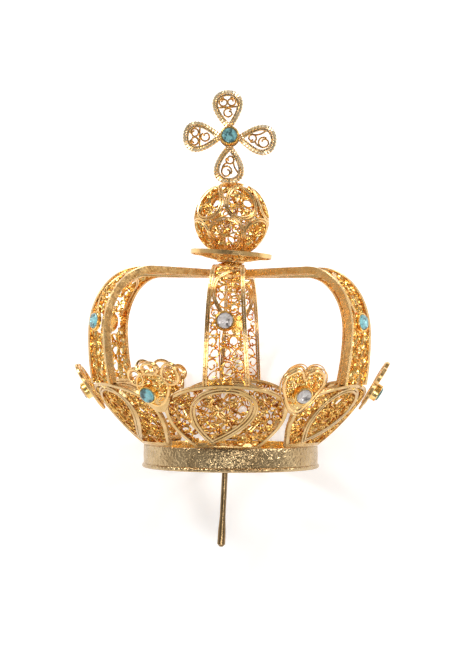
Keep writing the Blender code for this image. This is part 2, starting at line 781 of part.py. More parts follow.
def globe_sector():
    """Gives the flat outline and the holes of one sector of the globe, as (longitude, latitude)."""
    half = math.pi / GLOBE_SECTORS
    rows = 6
    latitudes = [GLOBE_FOOT_LATITUDE + (GLOBE_TOP_LATITUDE - GLOBE_FOOT_LATITUDE) * i / rows
                 for i in range(rows + 1)]
    right = [(half, latitude) for latitude in latitudes]
    left = [(-half, latitude) for latitude in reversed(latitudes)]
    foot = [(half * x, GLOBE_FOOT_LATITUDE) for x in (-0.5, 0.0, 0.5)]
    top = [(half * x, GLOBE_TOP_LATITUDE) for x in (0.5, 0.0, -0.5)]
    outline = right + top + left + foot
    quarter = 0.5 * half
    holes = []
    for longitude in (-quarter, quarter):
        for latitude in (GLOBE_UPPER_HOLES_LATITUDE, GLOBE_LOWER_HOLES_LATITUDE):
            half_width = quarter * GLOBE_HOLE_WIDTH_SHARE
            holes.append(oval(longitude, latitude, half_width, GLOBE_HOLE_HALF_HEIGHT))
    return outline, holes


def add_globe(finishes, parent):
    """Adds the hollow globe, its sectors joined along their edges."""
    outline, holes = globe_sector()
    bm = bmesh.new()
    for i in range(GLOBE_SECTORS):
        sector = sheet_with_holes(outline, holes)
        turn = 2.0 * math.pi * i / GLOBE_SECTORS

        def onto_ball(longitude, latitude):
            across = GLOBE_RADIUS * math.cos(latitude)
            return around(longitude + turn, across, GLOBE_RADIUS * math.sin(latitude))

        bend(sector, onto_ball)
        piece = bpy.data.meshes.new("sector")
        sector.to_mesh(piece)
        sector.free()
        bm.from_mesh(piece)
        bpy.data.meshes.remove(piece)
    bmesh.ops.remove_doubles(bm, verts=bm.verts, dist=1e-6)
    ball = add_object("globe", mesh_from(bm, "globe"), finishes["gilt"], parent)
    ball.location = (0.0, 0.0, GLOBE_HEIGHT)
    thicken(ball, GLOBE_WALL, offset=-1.0)


def cross_outline():
    """Gives the flat outline of the cross: four loops around a hub, and a tongue below."""
    distance = CROSS_ARM - CROSS_LOOP_RADIUS
    open_angle = math.asin(CROSS_LOOP_RADIUS / distance)
    tongue = CROSS_TONGUE_WIDTH / 2.0
    outline = []
    steps = 5
    for arm in range(4):
        middle = -0.5 * math.pi + 0.5 * math.pi * arm + CROSS_TURN
        waist = open_angle * CROSS_WAIST_SHARE
        outline.append(flat_point(CROSS_HUB_RADIUS, middle - waist))
        for i in range(-steps, steps + 1):
            if arm == 0 and abs(i) < 1:
                outline.append((-tongue, -CROSS_ARM - CROSS_TONGUE))
                outline.append((tongue, -CROSS_ARM - CROSS_TONGUE))
                continue
            angle = open_angle * math.sin(0.5 * math.pi * i / steps)
            deep = CROSS_LOOP_RADIUS ** 2 - (distance * math.sin(angle)) ** 2
            reach = distance * math.cos(angle) + math.sqrt(max(0.0, deep))
            outline.append(flat_point(reach, middle + angle))
        outline.append(flat_point(CROSS_HUB_RADIUS, middle + waist))
    return outline


def add_cross(finishes, parent):
    """Adds the cross, with two openings in each loop, and the stone in its middle."""
    distance = CROSS_ARM - CROSS_LOOP_RADIUS
    holes = []
    for arm in range(4):
        middle = -0.5 * math.pi + 0.5 * math.pi * arm + CROSS_TURN
        for aside in (-CROSS_HOLE_ASIDE, CROSS_HOLE_ASIDE):
            x = distance * math.cos(middle) - aside * math.sin(middle)
            y = distance * math.sin(middle) + aside * math.cos(middle)
            turn = 0.5 * math.pi - middle
            holes.append(oval(x, y, CROSS_HOLE_HALF_WIDTH, CROSS_HOLE_HALF_LENGTH, turn=turn))
    bm = sheet_with_holes(cross_outline(), holes)
    bend(bm, lambda across, along: Vector((across, 0.0, along)))
    plate = add_object("cross", mesh_from(bm, "cross"), finishes["gilt"], parent)
    plate.location = (0.0, 0.0, CROSS_HEIGHT)
    thicken(plate, CROSS_PLATE)
    front = Vector((0.0, -1.0, 0.0))
    middle = Vector((0.0, 0.0, CROSS_HEIGHT)) + front * (CROSS_PLATE / 2.0 + CUP_GAP)
    seat = seat_on(middle, front, Vector((0.0, 0.0, 1.0)))
    cup = cup_mesh(ARCH_CUP_DEPTH)
    stone = stone_mesh(ARCH_CUP_DEPTH)
    add_jewel("cross", None, seat, cup, stone, finishes, "blue", parent)


def solid_points(parent_frame):
    """Gives every point of the solids and their centre of volume, in the crown's own frame."""
    bpy.context.view_layer.update()
    graph = bpy.context.evaluated_depsgraph_get()
    back = parent_frame.matrix_world.inverted()
    points = []
    volume = 0.0
    moment = Vector()
    for thing in bpy.data.objects:
        if thing.type != "MESH":
            continue
        solid = thing.evaluated_get(graph)
        mesh = solid.to_mesh()
        here = back @ solid.matrix_world
        places = [here @ vert.co for vert in mesh.vertices]
        mesh.calc_loop_triangles()
        for triangle in mesh.loop_triangles:
            a, b, c = (places[i] for i in triangle.vertices)
            share = a.dot(b.cross(c)) / 6.0
            volume += share
            moment += share * (a + b + c) / 4.0
        points.extend(places)
        solid.to_mesh_clear()
    return points, moment / volume


def resting_normal(points, centre):
    """Gives the outward normal of the stretch of the back, seen from the side, that the crown rests on."""
    seen = [Vector((point.y, point.z)) for point in points]
    middle = Vector((centre.y, centre.z))
    hull = [seen[i] for i in geometry.convex_hull_2d(seen)]
    best = None
    lowest = None
    for start, end in zip(hull, hull[1:] + hull[:1]):
        way = (end - start).normalized()
        normal = Vector((way.y, -way.x))
        along = (middle - start).dot(way)
        held = 0.0 < along < (end - start).length
        height = (start - middle).dot(normal)
        if held and normal.x > abs(normal.y) and (lowest is None or height < lowest):
            best = Vector((0.0, normal.x, normal.y))
            lowest = height
    return best


def lie_down(frame):
    """Turns the crown onto its back and sets the middle of its footprint at the origin."""
    points, centre = solid_points(frame)
    normal = resting_normal(points, centre)
    turn = normal.rotation_difference(Vector((0.0, 0.0, -1.0))).to_matrix()
    laid = [turn @ point for point in points]
    low = Vector([min(point[i] for point in laid) for i in range(3)])
    high = Vector([max(point[i] for point in laid) for i in range(3)])
    frame.rotation_euler = turn.to_euler()
    frame.location = (-(low.x + high.x) / 2.0, -(low.y + high.y) / 2.0, -low.z)


def build():
    """Builds the whole crown."""
    clear_scene()
    finishes = {
        "gilt": finish("gilt_filigree", GILT, 0.28, 1.0),
        "pale": finish("pale_gilt", GILT_PALE, 0.25, 1.0),
        "blue": finish("blue_glass", BLUE, 0.05, 0.0),
        "clear": finish("clear_glass", CLEAR, 0.05, 0.0),
    }
    frame = empty("crown_frame")
    finial = empty("finial_frame", frame)
    finial.location = (FINIAL_SHIFT, 0.0, 0.0)
    add_band(finishes, frame)
    add_crossbar(finishes, frame)
    add_pin(finishes, frame)
    add_petals_and_arches(finishes, frame)
    add_florets(finishes, frame)
    add_neck(finishes, finial)
    add_saucer(finishes, finial)
    add_globe(finishes, finial)
    add_cross(finishes, finial)
    lie_down(frame)


build()
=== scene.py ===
"""Looks of the statue crown: gilt filigree, cut glass and a plain gilt band, laid down with the solids.

Flat work is drawn in millimetres with X across, Y along and Z out of the sheet. It is then bent onto the
crown, whose own frame has its axis up, its front towards -Y and the band's lower edge at height 0, and
laid down with the solids.
"""

import math
import random

import bpy
import numpy as np
from mathutils import Matrix, Vector


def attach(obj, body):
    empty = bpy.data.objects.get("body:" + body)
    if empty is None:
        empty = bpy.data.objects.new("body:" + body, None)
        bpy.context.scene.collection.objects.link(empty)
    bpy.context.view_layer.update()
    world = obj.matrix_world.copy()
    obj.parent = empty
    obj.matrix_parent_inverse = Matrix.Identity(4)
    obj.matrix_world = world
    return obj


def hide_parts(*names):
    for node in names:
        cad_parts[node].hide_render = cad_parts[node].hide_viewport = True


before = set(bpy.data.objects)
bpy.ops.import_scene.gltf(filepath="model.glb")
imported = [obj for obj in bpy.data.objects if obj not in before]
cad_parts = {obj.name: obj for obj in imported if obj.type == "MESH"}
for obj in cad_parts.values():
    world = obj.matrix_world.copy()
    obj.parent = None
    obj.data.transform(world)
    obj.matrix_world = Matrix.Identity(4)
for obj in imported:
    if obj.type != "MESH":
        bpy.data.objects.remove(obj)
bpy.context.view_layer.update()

# Sizes in millimetres, as the solids have them; the six places round the crown count from its front
MM = 0.001
COPIES = 6
SHEET = 0.8
SOLDER_GAP = 0.3
BAND_RADIUS = 17.5
BAND_HEIGHT = 4.6
BAND_WALL = 0.7
RIM_WIRE = 0.45
BOWL_TOP_RADIUS = 28.1
BOWL_RISE = 12.7
BOWL_BULGE = 0.7
PETAL_FOOT_ANGLE = math.radians(20.5)
PETAL_WIDE_ANGLE = math.radians(28.6)
PETAL_WIDE_SHARE = 0.50
PETAL_TIP_POWER = 2.6
ARCH_FLARE = 0.9
ARCH_RISE = 22.0
ARCH_BEND_RADIUS = 9.9
ARCH_BEND_HEIGHT = 12.0
ARCH_TOP_DIP = 0.4
ARCH_END_RADIUS = 4.4
ARCH_FOOT_WIDTH = 8.7
ARCH_SHOULDER_WIDTH = 6.6
ARCH_END_WIDTH = 4.0
ARCH_STONE_RISE = 11.7
STONE_RADIUS = 1.5
CUP_RADIUS = 1.85
CUP_GAP = 0.2
ARCH_CUP_DEPTH = 0.6
FLORET_CUP_DEPTH = 1.2
FLORET_LEAN = math.radians(32.0)
SAUCER_RISE = 2.4
SAUCER_RADIUS = 8.3
SAUCER_HOLE = 2.6
GLOBE_CLEAR = 0.7
GLOBE_RADIUS = 7.5
CROSS_ARM = 9.0
CROSS_SINK = 0.25

# Handwork stands out of true: shifted in millimetres, leaning in degrees
ARCH_SWAYS = (0.15, 0.0, 0.0, -0.8, 0.0, 0.0)
FLORET_SWAYS = (0.0, 0.0, 0.0, 0.0, 0.0, 0.6)
NECK_SWAY = 0.3
SAUCER_SWAY = 0.35
GLOBE_SWAY = 0.5
SAUCER_LEAN = 4.0
CROSS_LEANS = (4.0, -0.5, -1.0, -5.0)
PIN_LEAN = 2.6
PETAL_BEND = 0.10
ARCH_BEND = 0.08
FLORET_BEND = 0.08

# Strips and wires by their width, with the half gap of twin strips and the share of its width that a grained
# wire has where it is thin and where it is thick
STRIP = 0.75
FINE_STRIP = 0.5
WIRE = 0.24
THIN_WIRE = 0.18
CROSS_WIRE = 0.38
DROP_TWIN_GAP = 0.32
RAIL_TWIN_GAP = 0.22
LEAF_TWIN_GAP = 0.20
GRAINS = (0.84, 1.12)
CROSS_GRAINS = (0.80, 1.08)

# Radii of the scrolls that fill each piece, as (largest, smallest), the large ones packed first
DROP_SCROLLS = ((1.4, 1.0), (0.85, 0.6), (0.45, 0.36))
PETAL_SCROLLS = ((1.1, 0.8), (0.7, 0.5), (0.4, 0.35))
LACE_SCROLLS = ((1.35, 0.95), (0.85, 0.6), (0.45, 0.33))
ARCH_SCROLLS = ((1.15, 0.8), (0.7, 0.48), (0.4, 0.3))
FLORET_SCROLLS = ((0.95, 0.6), (0.55, 0.35), (0.33, 0.26))
SAUCER_SCROLLS = ((0.9, 0.55), (0.5, 0.32))
GLOBE_SCROLLS = ((1.5, 1.1), (0.85, 0.5))
RING_RADIUS = 0.42
GRID_PITCH = 0.11
LEAST_ROOM = 0.1
SAME_POINT = 0.0005
RANDOM_TURN = 6.28

# Petals: the leaning teardrop, the strip along its side and the plain foot
DROP_HALF_WIDTH = 5.8
DROP_FOOT = 2.0
DROP_TIP_GAP = 1.3
DROP_LEAN = -2.9
SWELL_SHIFT = (0.75, -0.35)
PETAL_FOOT_RISE = 0.55
PETAL_FOOT_INSET = 0.2

# Arches: how far the rails reach below the first solder joint, and where lace gives way to dense scrolls
ARCH_FOOT_REACH = 0.9
ARCH_SHOULDER_DROP = 2.0
LACE_TOP_DROP = 1.0

# Florets: the loops as (across, along, half width, half height, turn) and the plate at the foot
SIDE_LOOPS = ((-2.9, 3.1, 1.55, 1.8, 0.25), (5.1, 3.9, 1.8, 2.25, -0.25))
TOP_LOOP = (0.8, 5.0, 1.75, 1.2)
LOOP_LINING_GAP = 0.5
LOOP_CURL_DROP = 0.7
HEART_SHARE = (0.93, 0.94)
HEART_LINING_GAP = 0.7
TAB_FOOT = -4.7
TAB_LENGTH = 3.6
TAB_HALF_WIDTH = 0.9
TAB_SWELL = 2.3
TAB_WALL = 0.45

# Jewels: the cup's wall stands in from the solid's edge, so that its lip and its grains stay within it
CUP_STEP = 0.06
CUP_WALL = 0.26
CUP_FLOOR = 0.05
LIP_STEP = 0.17
LIP_WIRE = 0.15
FOOT_WIRE = 0.12
FOOT_GRAINS = 20
STONE_LIFT = 0.08
STONE_TABLE = 0.46
STONE_CROWN_SHARE = 0.62
FLAT_PAVILION = 0.38
DEEP_PAVILION = 0.60
STONE_SHARE = 0.62
STONE_SPIN = 0.35

# Band and pin
BAND_FOOT = 0.5
BAND_DENT = 0.012
RIM_STEP = 0.12
PIN_PLACE = (-1.0, 0.0, 2.0)
PIN_LENGTH = 18.6
PIN_RADIUS = 0.6
PIN_SWELL = 3.0
PIN_TIP = 2.5
PIN_TIP_RADIUS = 0.8
PIN_POINT = 0.5
PIN_POINT_SHARE = 0.42
PIN_HEAD_RADIUS = 1.2
PIN_HEAD_RISE = 0.6

# Neck: its rings as (rise, radius, wire), its turned cores as (rise, radius, height, sides), and two rows of
# grains as (radius, rise)
NECK_RINGS = ((-0.3, 2.3, 0.5), (0.3, 2.2, 0.45), (1.3, 2.0, 0.55), (2.0, 1.5, 0.35))
NECK_CORES = ((0.0, 1.9, 1.6, 32), (2.4, 1.0, 5.4, 24))
NECK_GRAIN_ROWS = ((2.75, 0.75), (2.1, 1.6))
NECK_GRAIN = 0.55
NECK_GRAIN_PAIRS = 9

# Saucer and globe: curls between the leaves as (start, latitude, radius), all angles in degrees
SAUCER_LOOPS = 9
SAUCER_DISH = 1.5
GLOBE_STEP = 0.36
UPPER_START = -41.0
LOWER_START = -7.0
LEAF_LATITUDE = 27.0
GLOBE_CURLS = ((UPPER_START, 9.0, 1.15), (LOWER_START, -8.0, 0.9), (LOWER_START, -52.0, 0.8),
               (UPPER_START, 50.0, 0.7))
CAP_RADII = (0.75, 1.3, 1.9, 2.4)
CAP_LIFT = 0.1
CAP_WALL = 0.5

# Cross: the frames stand a little past the solid's arm, and a hub and a tongue hold them
FRAME_PAST = 0.12
LINING_SHORT = 0.5
HUB_RADIUS = 2.05
HUB_DEPTH = 0.9
TONGUE_RADIUS = 0.5
TONGUE_LENGTH = 2.0
TONGUE_DROP = 0.4

BOWL_TOP_HEIGHT = BAND_HEIGHT + BOWL_RISE
ARCH_TOP_HEIGHT = BOWL_TOP_HEIGHT + ARCH_RISE
ARCH_STONE_HEIGHT = BOWL_TOP_HEIGHT + ARCH_STONE_RISE
SAUCER_HEIGHT = ARCH_TOP_HEIGHT + SAUCER_RISE
GLOBE_HEIGHT = SAUCER_HEIGHT + GLOBE_CLEAR + GLOBE_RADIUS
CROSS_HEIGHT = GLOBE_HEIGHT + GLOBE_RADIUS + SOLDER_GAP + CROSS_ARM - CROSS_SINK
GLOBE_SHEET_RADIUS = GLOBE_RADIUS - GLOBE_STEP


def node_points(node):
    """Gives the points of a solid."""
    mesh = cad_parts[node].data
    points = np.empty(len(mesh.vertices) * 3)
    mesh.vertices.foreach_get("co", points)
    return points.reshape(-1, 3)


def node_middle(node):
    """Gives the middle of a solid's points."""
    return Vector(node_points(node).mean(axis=0))


def crown_frame():
    """Works out from the solids how the crown lies: its axis, its front and the band's lower edge."""
    arch_stones = [node_middle(f"arch_stone_{i + 1}") for i in range(COPIES)]
    floret_stones = [node_middle(f"floret_stone_{i + 1}") for i in range(COPIES)]
    high = sum(arch_stones, Vector()) / COPIES
    low = sum(floret_stones, Vector()) / COPIES
    up = (high - low).normalized()
    back = high - arch_stones[0]
    back = (back - back.project(up)).normalized()
    right = back.cross(up)
    drop = (node_points("band") - np.array(low)) @ np.array(up)
    turn = Matrix((right, back, up)).transposed().to_4x4()
    return Matrix.Translation(low + up * float(drop.min())) @ turn @ Matrix.Scale(MM, 4)


CROWN = crown_frame()


def on_crown(node):
    """Gives the middle of a solid in the crown's own frame, in millimetres."""
    return CROWN.inverted() @ node_middle(node)


def turned_to(place):
    """Gives the turn from the front of the crown to one of its six places, or to between two for a half."""
    return Matrix.Rotation(2.0 * math.pi * place / COPIES, 4, "Z")


def upright():
    """Gives the turn that stands flat work up, facing the front."""
    return Matrix.Rotation(0.5 * math.pi, 4, "X")


def sideways(shift, height=0.0):
    """Gives a move across, to a height."""
    return Matrix.Translation((shift, 0.0, height))


# Handling meshes


def alone(thing):
    """Selects one object and makes it the active one."""
    bpy.ops.object.select_all(action="DESELECT")
    thing.select_set(True)
    bpy.context.view_layer.objects.active = thing


def added(operator, **settings):
    """Adds a primitive by its operator, with nothing else selected and its place in its mesh."""
    bpy.ops.object.select_all(action="DESELECT")
    operator(**settings)
    bpy.ops.object.transform_apply(location=True)
    return bpy.context.object


def picked(thing, test):
    """Selects the faces of an active mesh that pass a test, and leaves it in edit mode."""
    bpy.ops.object.mode_set(mode="EDIT")
    bpy.ops.mesh.select_all(action="DESELECT")
    bpy.ops.object.mode_set(mode="OBJECT")
    for face in thing.data.polygons:
        face.select = test(face)
    bpy.ops.object.mode_set(mode="EDIT")


def mapped(thing, place):
    """Moves every point of a mesh with a function that takes and gives an array of points."""
    mesh = thing.data
    points = np.empty(len(mesh.vertices) * 3)
    mesh.vertices.foreach_get("co", points)
    points = np.asarray(place(points.reshape(-1, 3)))
    mesh.vertices.foreach_set("co", points.ravel())
    mesh.update()
    return thing


def moved(thing, matrix):
    """Moves every point of a mesh with a matrix."""
    thing.data.transform(matrix)
    thing.data.update()
    return thing


def walled(sheet, thickness, side, rim=0.0, sharp=30.0):
    """Gives a sheet its wall, and rounds its edges by a rim where they turn more than sharp degrees."""
    wall = sheet.modifiers.new("wall", "SOLIDIFY")
    wall.thickness = thickness
    wall.offset = side
    if rim:
        edge = sheet.modifiers.new("rim", "BEVEL")
        edge.width = rim
        edge.segments = 2
        edge.limit_method = "ANGLE"
        edge.angle_limit = math.radians(sharp)
    alone(sheet)
    for name in [modifier.name for modifier in sheet.modifiers]:
        bpy.ops.object.modifier_apply(modifier=name)
    return sheet


def joined(name, things):
    """Joins objects into one."""
    alone(things[0])
    for thing in things[1:]:
        thing.select_set(True)
    bpy.ops.object.join()
    made = bpy.context.object
    made.name = name
    made.data.name = name
    return made


def copied(thing, name):
    """Copies an object with its own mesh."""
    twin = thing.copy()
    twin.data = thing.data.copy()
    twin.name = name
    twin.data.name = name
    bpy.context.collection.objects.link(twin)
    return twin


def removed(things):
    """Removes objects that have done their work."""
    for thing in things:
        bpy.data.objects.remove(thing)


def smoothed(thing, degrees=38.0):
    """Shades a piece smooth except at its sharp edges."""
    alone(thing)
    bpy.ops.object.shade_smooth_by_angle(angle=math.radians(degrees))
    return thing


def dressed(thing, material):
    """Gives a piece its one material."""
    thing.data.materials.clear()
    thing.data.materials.append(material)
    return thing


def laid_down(thing, slot, *nodes):
    """Lays a piece, finished in the crown's frame, down with the solids that it stands for."""
    moved(thing, CROWN)
    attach(thing, "root")
    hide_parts(*nodes)
    return thing


# Colours and materials


def linear(hex_colour):
    """Turns an sRGB hex colour into linear values."""
    values = [int(hex_colour[i:i + 2], 16) / 255.0 for i in (1, 3, 5)]
    return [v / 12.92 if v <= 0.04045 else ((v + 0.055) / 1.055) ** 2.4 for v in values] + [1.0]


def add_node(tree, kind, links=(), stops=(), **settings):
    """Adds a node with its settings, its inputs' links and, for a ramp, its stops (position, colour)."""
    node = tree.nodes.new(kind)
    for key, value in settings.items():
        socket = node.inputs.get(key.replace("_", " "))
        if socket is None:
            setattr(node, key, value)
        else:
            socket.default_value = value
    for target, source in links:
        tree.links.new(source, node.inputs[target])
    for i, (position, value) in enumerate(stops):
        elements = node.color_ramp.elements
        element = elements[i] if i < len(elements) else elements.new(position)
        element.position = position
        element.color = linear(value) if isinstance(value, str) else (value, value, value, 1.0)
    return node


def surface(name, patterns=(), **settings):
    """Makes a material; settings go on its shader's sockets, and each pattern drives one socket.

    A pattern is the socket, the grain of a noise in millimetres, the noise's detail, and the stops of its
    ramp or, for the normal, the depth of its dents in millimetres and their strength.
    """
    made = bpy.data.materials.new(name)
    made.use_nodes = True
    tree = made.node_tree
    shader = tree.nodes["Principled BSDF"]
    for key, value in settings.items():
        socket = shader.inputs[key.replace("_", " ")]
        socket.default_value = linear(value) if isinstance(value, str) else value
    for socket, grain, detail, shape in patterns:
        place = add_node(tree, "ShaderNodeTexCoord")
        noise = add_node(tree, "ShaderNodeTexNoise", [("Vector", place.outputs["Object"])],
                         Scale=1.0 / (grain * MM), Detail=detail)
        if socket == "Normal":
            depth, strength = shape
            bump = add_node(tree, "ShaderNodeBump", [("Height", noise.outputs["Fac"])],
                            Distance=depth * MM, Strength=strength)
            tree.links.new(bump.outputs["Normal"], shader.inputs[socket])
        else:
            ramp = add_node(tree, "ShaderNodeValToRGB", [("Fac", noise.outputs["Fac"])], stops=shape)
            tree.links.new(ramp.outputs["Color"], shader.inputs[socket])
    return made


def gilded_wire(name, deep, dark, light):
    """Gilded brass wire, drawn and rolled: deep yellow, bright on its edges, orange where it mirrors itself.

    The gilding turns from deep to light within a bend or two, about 1.3 mm. The drawing marks are finer in
    truth and are drawn 0.35 mm apart, so that they show as sparkle.
    """
    return surface(name, [("Base Color", 1.3, 2.0, [(0.38, deep), (0.46, dark), (0.62, light)]),
                          ("Roughness", 0.7, 2.0, [(0.3, 0.16), (0.7, 0.30)]),
                          ("Normal", 0.35, 2.0, (0.05, 0.5))], Metallic=1.0)


def gilded_strip(name, dark, light):
    """Gilded brass strip, rolled flat: paler than the wire, softly uneven, so its mirror image breaks up.

    The dents are those of the pliers, about a millimetre apart.
    """
    return surface(name, [("Base Color", 3.0, 2.0, [(0.35, dark), (0.65, light)]),
                          ("Roughness", 0.9, 2.0, [(0.3, 0.18), (0.7, 0.32)]),
                          ("Normal", 1.1, 2.0, (0.12, 0.35))], Metallic=1.0)


def champagne_sheet():
    """Champagne-gilt sheet, planished: pale and grey-gold, with a fine grain that sparkles in the light.

    The hammer's grain is finer in truth and is drawn 0.6 mm apart, so that it shows.
    """
    return surface("champagne_gilt_sheet",
                   [("Base Color", 4.0, 3.0, [(0.35, "#B4966B"), (0.65, "#CAAE82")]),
                    ("Roughness", 1.6, 3.0, [(0.35, 0.17), (0.65, 0.30)]),
                    ("Normal", 0.6, 1.5, (0.28, 1.0))], Metallic=1.0)


def shaded_burnished_pin():
    """Gilt brass rod, drawn and burnished: sharper in its mirror image than the sheet, and darker in colour,
    which is painted shade.
    """
    # The darker colour stands in for the dim room that the rod mirrors: painted shade
    return surface("shaded_burnished_brass_rod",
                   [("Base Color", 2.0, 2.0, [(0.35, "#7E6646"), (0.65, "#9A7F5A")]),
                    ("Roughness", 0.8, 2.0, [(0.3, 0.12), (0.7, 0.24)]),
                    ("Normal", 1.4, 2.0, (0.08, 0.4))], Metallic=1.0)


def foil_with_painted_glow():
    """Crumpled silver foil behind a glass stone: it scatters the light back through the facets, unevenly.

    The folds are about a millimetre apart. A faint glow in the colours of the folds is painted light, which
    brightens the stone.
    """
    # The folds' tones colour both the foil and its glow; the glow is painted light
    folds = [(0.38, "#8F8A86"), (0.48, "#EEE8E0"), (0.60, "#FFFBF4")]
    return surface("foil_with_painted_glow",
                   [("Base Color", 0.9, 1.0, folds), ("Emission Color", 0.9, 1.0, folds),
                    ("Normal", 0.9, 1.0, (0.30, 1.0))], Metallic=0.5, Roughness=0.3, Emission_Strength=0.11)


def cut_glass(name, dark, light):
    """Cut and polished lead glass, coloured through: sharp facets, bright and dark by turns."""
    return surface(name, [("Base Color", 1.2, 2.0, [(0.3, dark), (0.7, light)])],
                   IOR=1.56, Transmission_Weight=1.0, Roughness=0.02)


WIRE_GILT = gilded_wire("gilded_brass_wire", "#E8A04A", "#FBC968", "#FFE09A")
STRIP_GILT = gilded_strip("gilded_brass_strip", "#EBBC78", "#F6D092")
PALE_STRIP_GILT = gilded_strip("pale_gilded_brass_strip", "#F6D9A6", "#FFEAC8")
# The bowl's wire and strip are darker copies of the gilding: painted shade, so that the bowl shows dimmer
# than the arches under the same lights; the floret tabs take the darker strip too
SHADED_BOWL_WIRE_GILT = gilded_wire("shaded_gilded_brass_wire", "#B97430", "#DCA650", "#EEC172")
SHADED_BOWL_STRIP_GILT = gilded_strip("shaded_gilded_brass_strip", "#CBA468", "#DDBB86")
SHEET_GILT = champagne_sheet()
PIN_GILT = shaded_burnished_pin()
FOIL = foil_with_painted_glow()
BLUE_GLASS = cut_glass("aqua_cut_glass", "#76DAF0", "#A2ECF8")
CLEAR_GLASS = cut_glass("clear_cut_glass", "#EFEAF2", "#FBF9FC")


# Wire and strip work


def section(name, width, depth, ridge):
    """Makes the section of a strip or wire: a top and bottom that slope off by a ridge to flat sides."""
    half = width / 2.0
    edge = depth / 2.0
    flat = half - ridge
    top = [(-flat, edge), (flat, edge)] if flat >= 0.01 else [(0.0, edge)]
    upper = [(-half, edge - ridge), *top, (half, edge - ridge)]
    outline = upper + [(x, -y) for x, y in reversed(upper)]
    curve = bpy.data.curves.new(name, "CURVE")
    curve.dimensions = "2D"
    curve.fill_mode = "NONE"
    spline = curve.splines.new("POLY")
    spline.points.add(len(outline) - 1)
    for point, (x, y) in zip(spline.points, outline):
        point.co = (x, y, 0.0, 1.0)
    spline.use_cyclic_u = True
    made = bpy.data.objects.new(name, curve)
    bpy.context.collection.objects.link(made)
    return made


def laid(name, routes, profile, material, closed=False, grains=None):
    """Lays strips or wires along flat routes and makes them one mesh; grains are thin and thick by turns."""
    curve = bpy.data.curves.new(name, "CURVE")
    curve.dimensions = "3D"
    curve.twist_mode = "Z_UP"
    curve.bevel_mode = "OBJECT"
    curve.bevel_object = profile
    curve.use_fill_caps = True
    for route in routes:
        route = np.asarray(route, dtype=float)
        if route.shape[1] == 2:
            route = np.column_stack([route, np.zeros(len(route))])
        spline = curve.splines.new("POLY")
        spline.points.add(len(route) - 1)
        spline.points.foreach_set("co", np.column_stack([route, np.ones(len(route))]).ravel())
        if grains:
            spline.points.foreach_set("radius", np.resize(grains, len(route)).tolist())
        spline.use_cyclic_u = closed
    made = bpy.data.objects.new(name, curve)
    bpy.context.collection.objects.link(made)
    alone(made)
    bpy.ops.object.convert(target="MESH")
    made = bpy.context.object
    bpy.ops.object.mode_set(mode="EDIT")
    bpy.ops.mesh.select_all(action="SELECT")
    bpy.ops.mesh.remove_doubles(threshold=SAME_POINT)
    bpy.ops.object.mode_set(mode="OBJECT")
    return dressed(made, material)


def offset(route, distance, closed=True):
    """Moves a flat route sideways, to its left for a positive distance."""
    points = np.asarray(route, dtype=float)
    if closed:
        way = np.roll(points, -1, axis=0) - np.roll(points, 1, axis=0)
    else:
        way = np.gradient(points, axis=0)
    way /= np.linalg.norm(way, axis=1, keepdims=True)
    return points + distance * np.column_stack([-way[:, 1], way[:, 0]])


def twinned(routes, gap, closed=True):
    """Gives two routes for each, one on either side of it."""
    return [offset(route, side * gap, closed) for route in routes for side in (-1.0, 1.0)]


def ellipse(x, y, half_x, half_y, turn=0.0, steps=32):
    """Gives a closed oval route."""
    angle = np.linspace(0.0, 2.0 * math.pi, steps, endpoint=False)
    across = half_x * np.cos(angle)
    along = half_y * np.sin(angle)
    return np.column_stack([x + across * math.cos(turn) - along * math.sin(turn),
                            y + across * math.sin(turn) + along * math.cos(turn)])


def teardrop(half_width, low, high, lean=0.0, taper=0.5, steps=48):
    """Gives a closed teardrop route with its point at the low end; lean moves the point aside."""
    angle = np.linspace(-math.pi, math.pi, steps, endpoint=False)
    share = 0.5 * (1.0 + np.cos(angle))
    width = np.sin(angle) * share ** taper
    across = half_width * width / width.max() + lean * (1.0 - share) ** 1.5
    return np.column_stack([across, low + share * (high - low)])


def rounded(points, steps=8, closed=False):
    """Gives a smooth route through a few points."""
    points = np.asarray(points, dtype=float)
    count = len(points)
    spans = count if closed else count - 1
    route = []
    for i in range(spans):
        if closed:
            a, b, c, d = (points[(i + k) % count] for k in (-1, 0, 1, 2))
        else:
            a, b, c, d = (points[min(max(i + k, 0), count - 1)] for k in (-1, 0, 1, 2))
        for t in np.arange(steps) / steps:
            route.append(0.5 * (2 * b + (c - a) * t + (2 * a - 5 * b + 4 * c - d) * t ** 2
                                + (3 * b - a - 3 * c + d) * t ** 3))
    if not closed:
        route.append(points[-1])
    return np.array(route)


def distance_to(points, route, closed):
    """Gives how far each point lies from a route."""
    start = np.asarray(route, dtype=float)
    end = np.roll(start, -1, axis=0)
    if not closed:
        start, end = start[:-1], end[:-1]
    best = np.full(len(points), math.inf)
    for a, b in zip(start, end):
        way = b - a
        share = np.clip(((points - a) @ way) / max(way @ way, 1e-12), 0.0, 1.0)
        best = np.minimum(best, np.linalg.norm(points - a - share[:, None] * way, axis=1))
    return best


def inside(points, outline):
    """Tells which points lie inside a closed outline."""
    odd = np.zeros(len(points), dtype=bool)
    for (x0, y0), (x1, y1) in zip(outline, np.roll(outline, -1, axis=0)):
        if y0 != y1:
            crossing = (y0 > points[:, 1]) != (y1 > points[:, 1])
            odd ^= crossing & (points[:, 0] < x0 + (points[:, 1] - y0) / (y1 - y0) * (x1 - x0))
    return odd


def room_in(outline, lines):
    """Gives a grid of points inside an outline, and each one's room to lines (route, closed, half width)."""
    low = outline.min(axis=0)
    high = outline.max(axis=0)
    x, y = np.meshgrid(np.arange(low[0], high[0], GRID_PITCH), np.arange(low[1], high[1], GRID_PITCH))
    points = np.column_stack([x.ravel(), y.ravel()])
    points = points[inside(points, outline)]
    room = np.full(len(points), math.inf)
    for route, closed, half_width in lines:
        room = np.minimum(room, distance_to(points, route, closed) - half_width)
    return points[room > LEAST_ROOM], room[room > LEAST_ROOM]


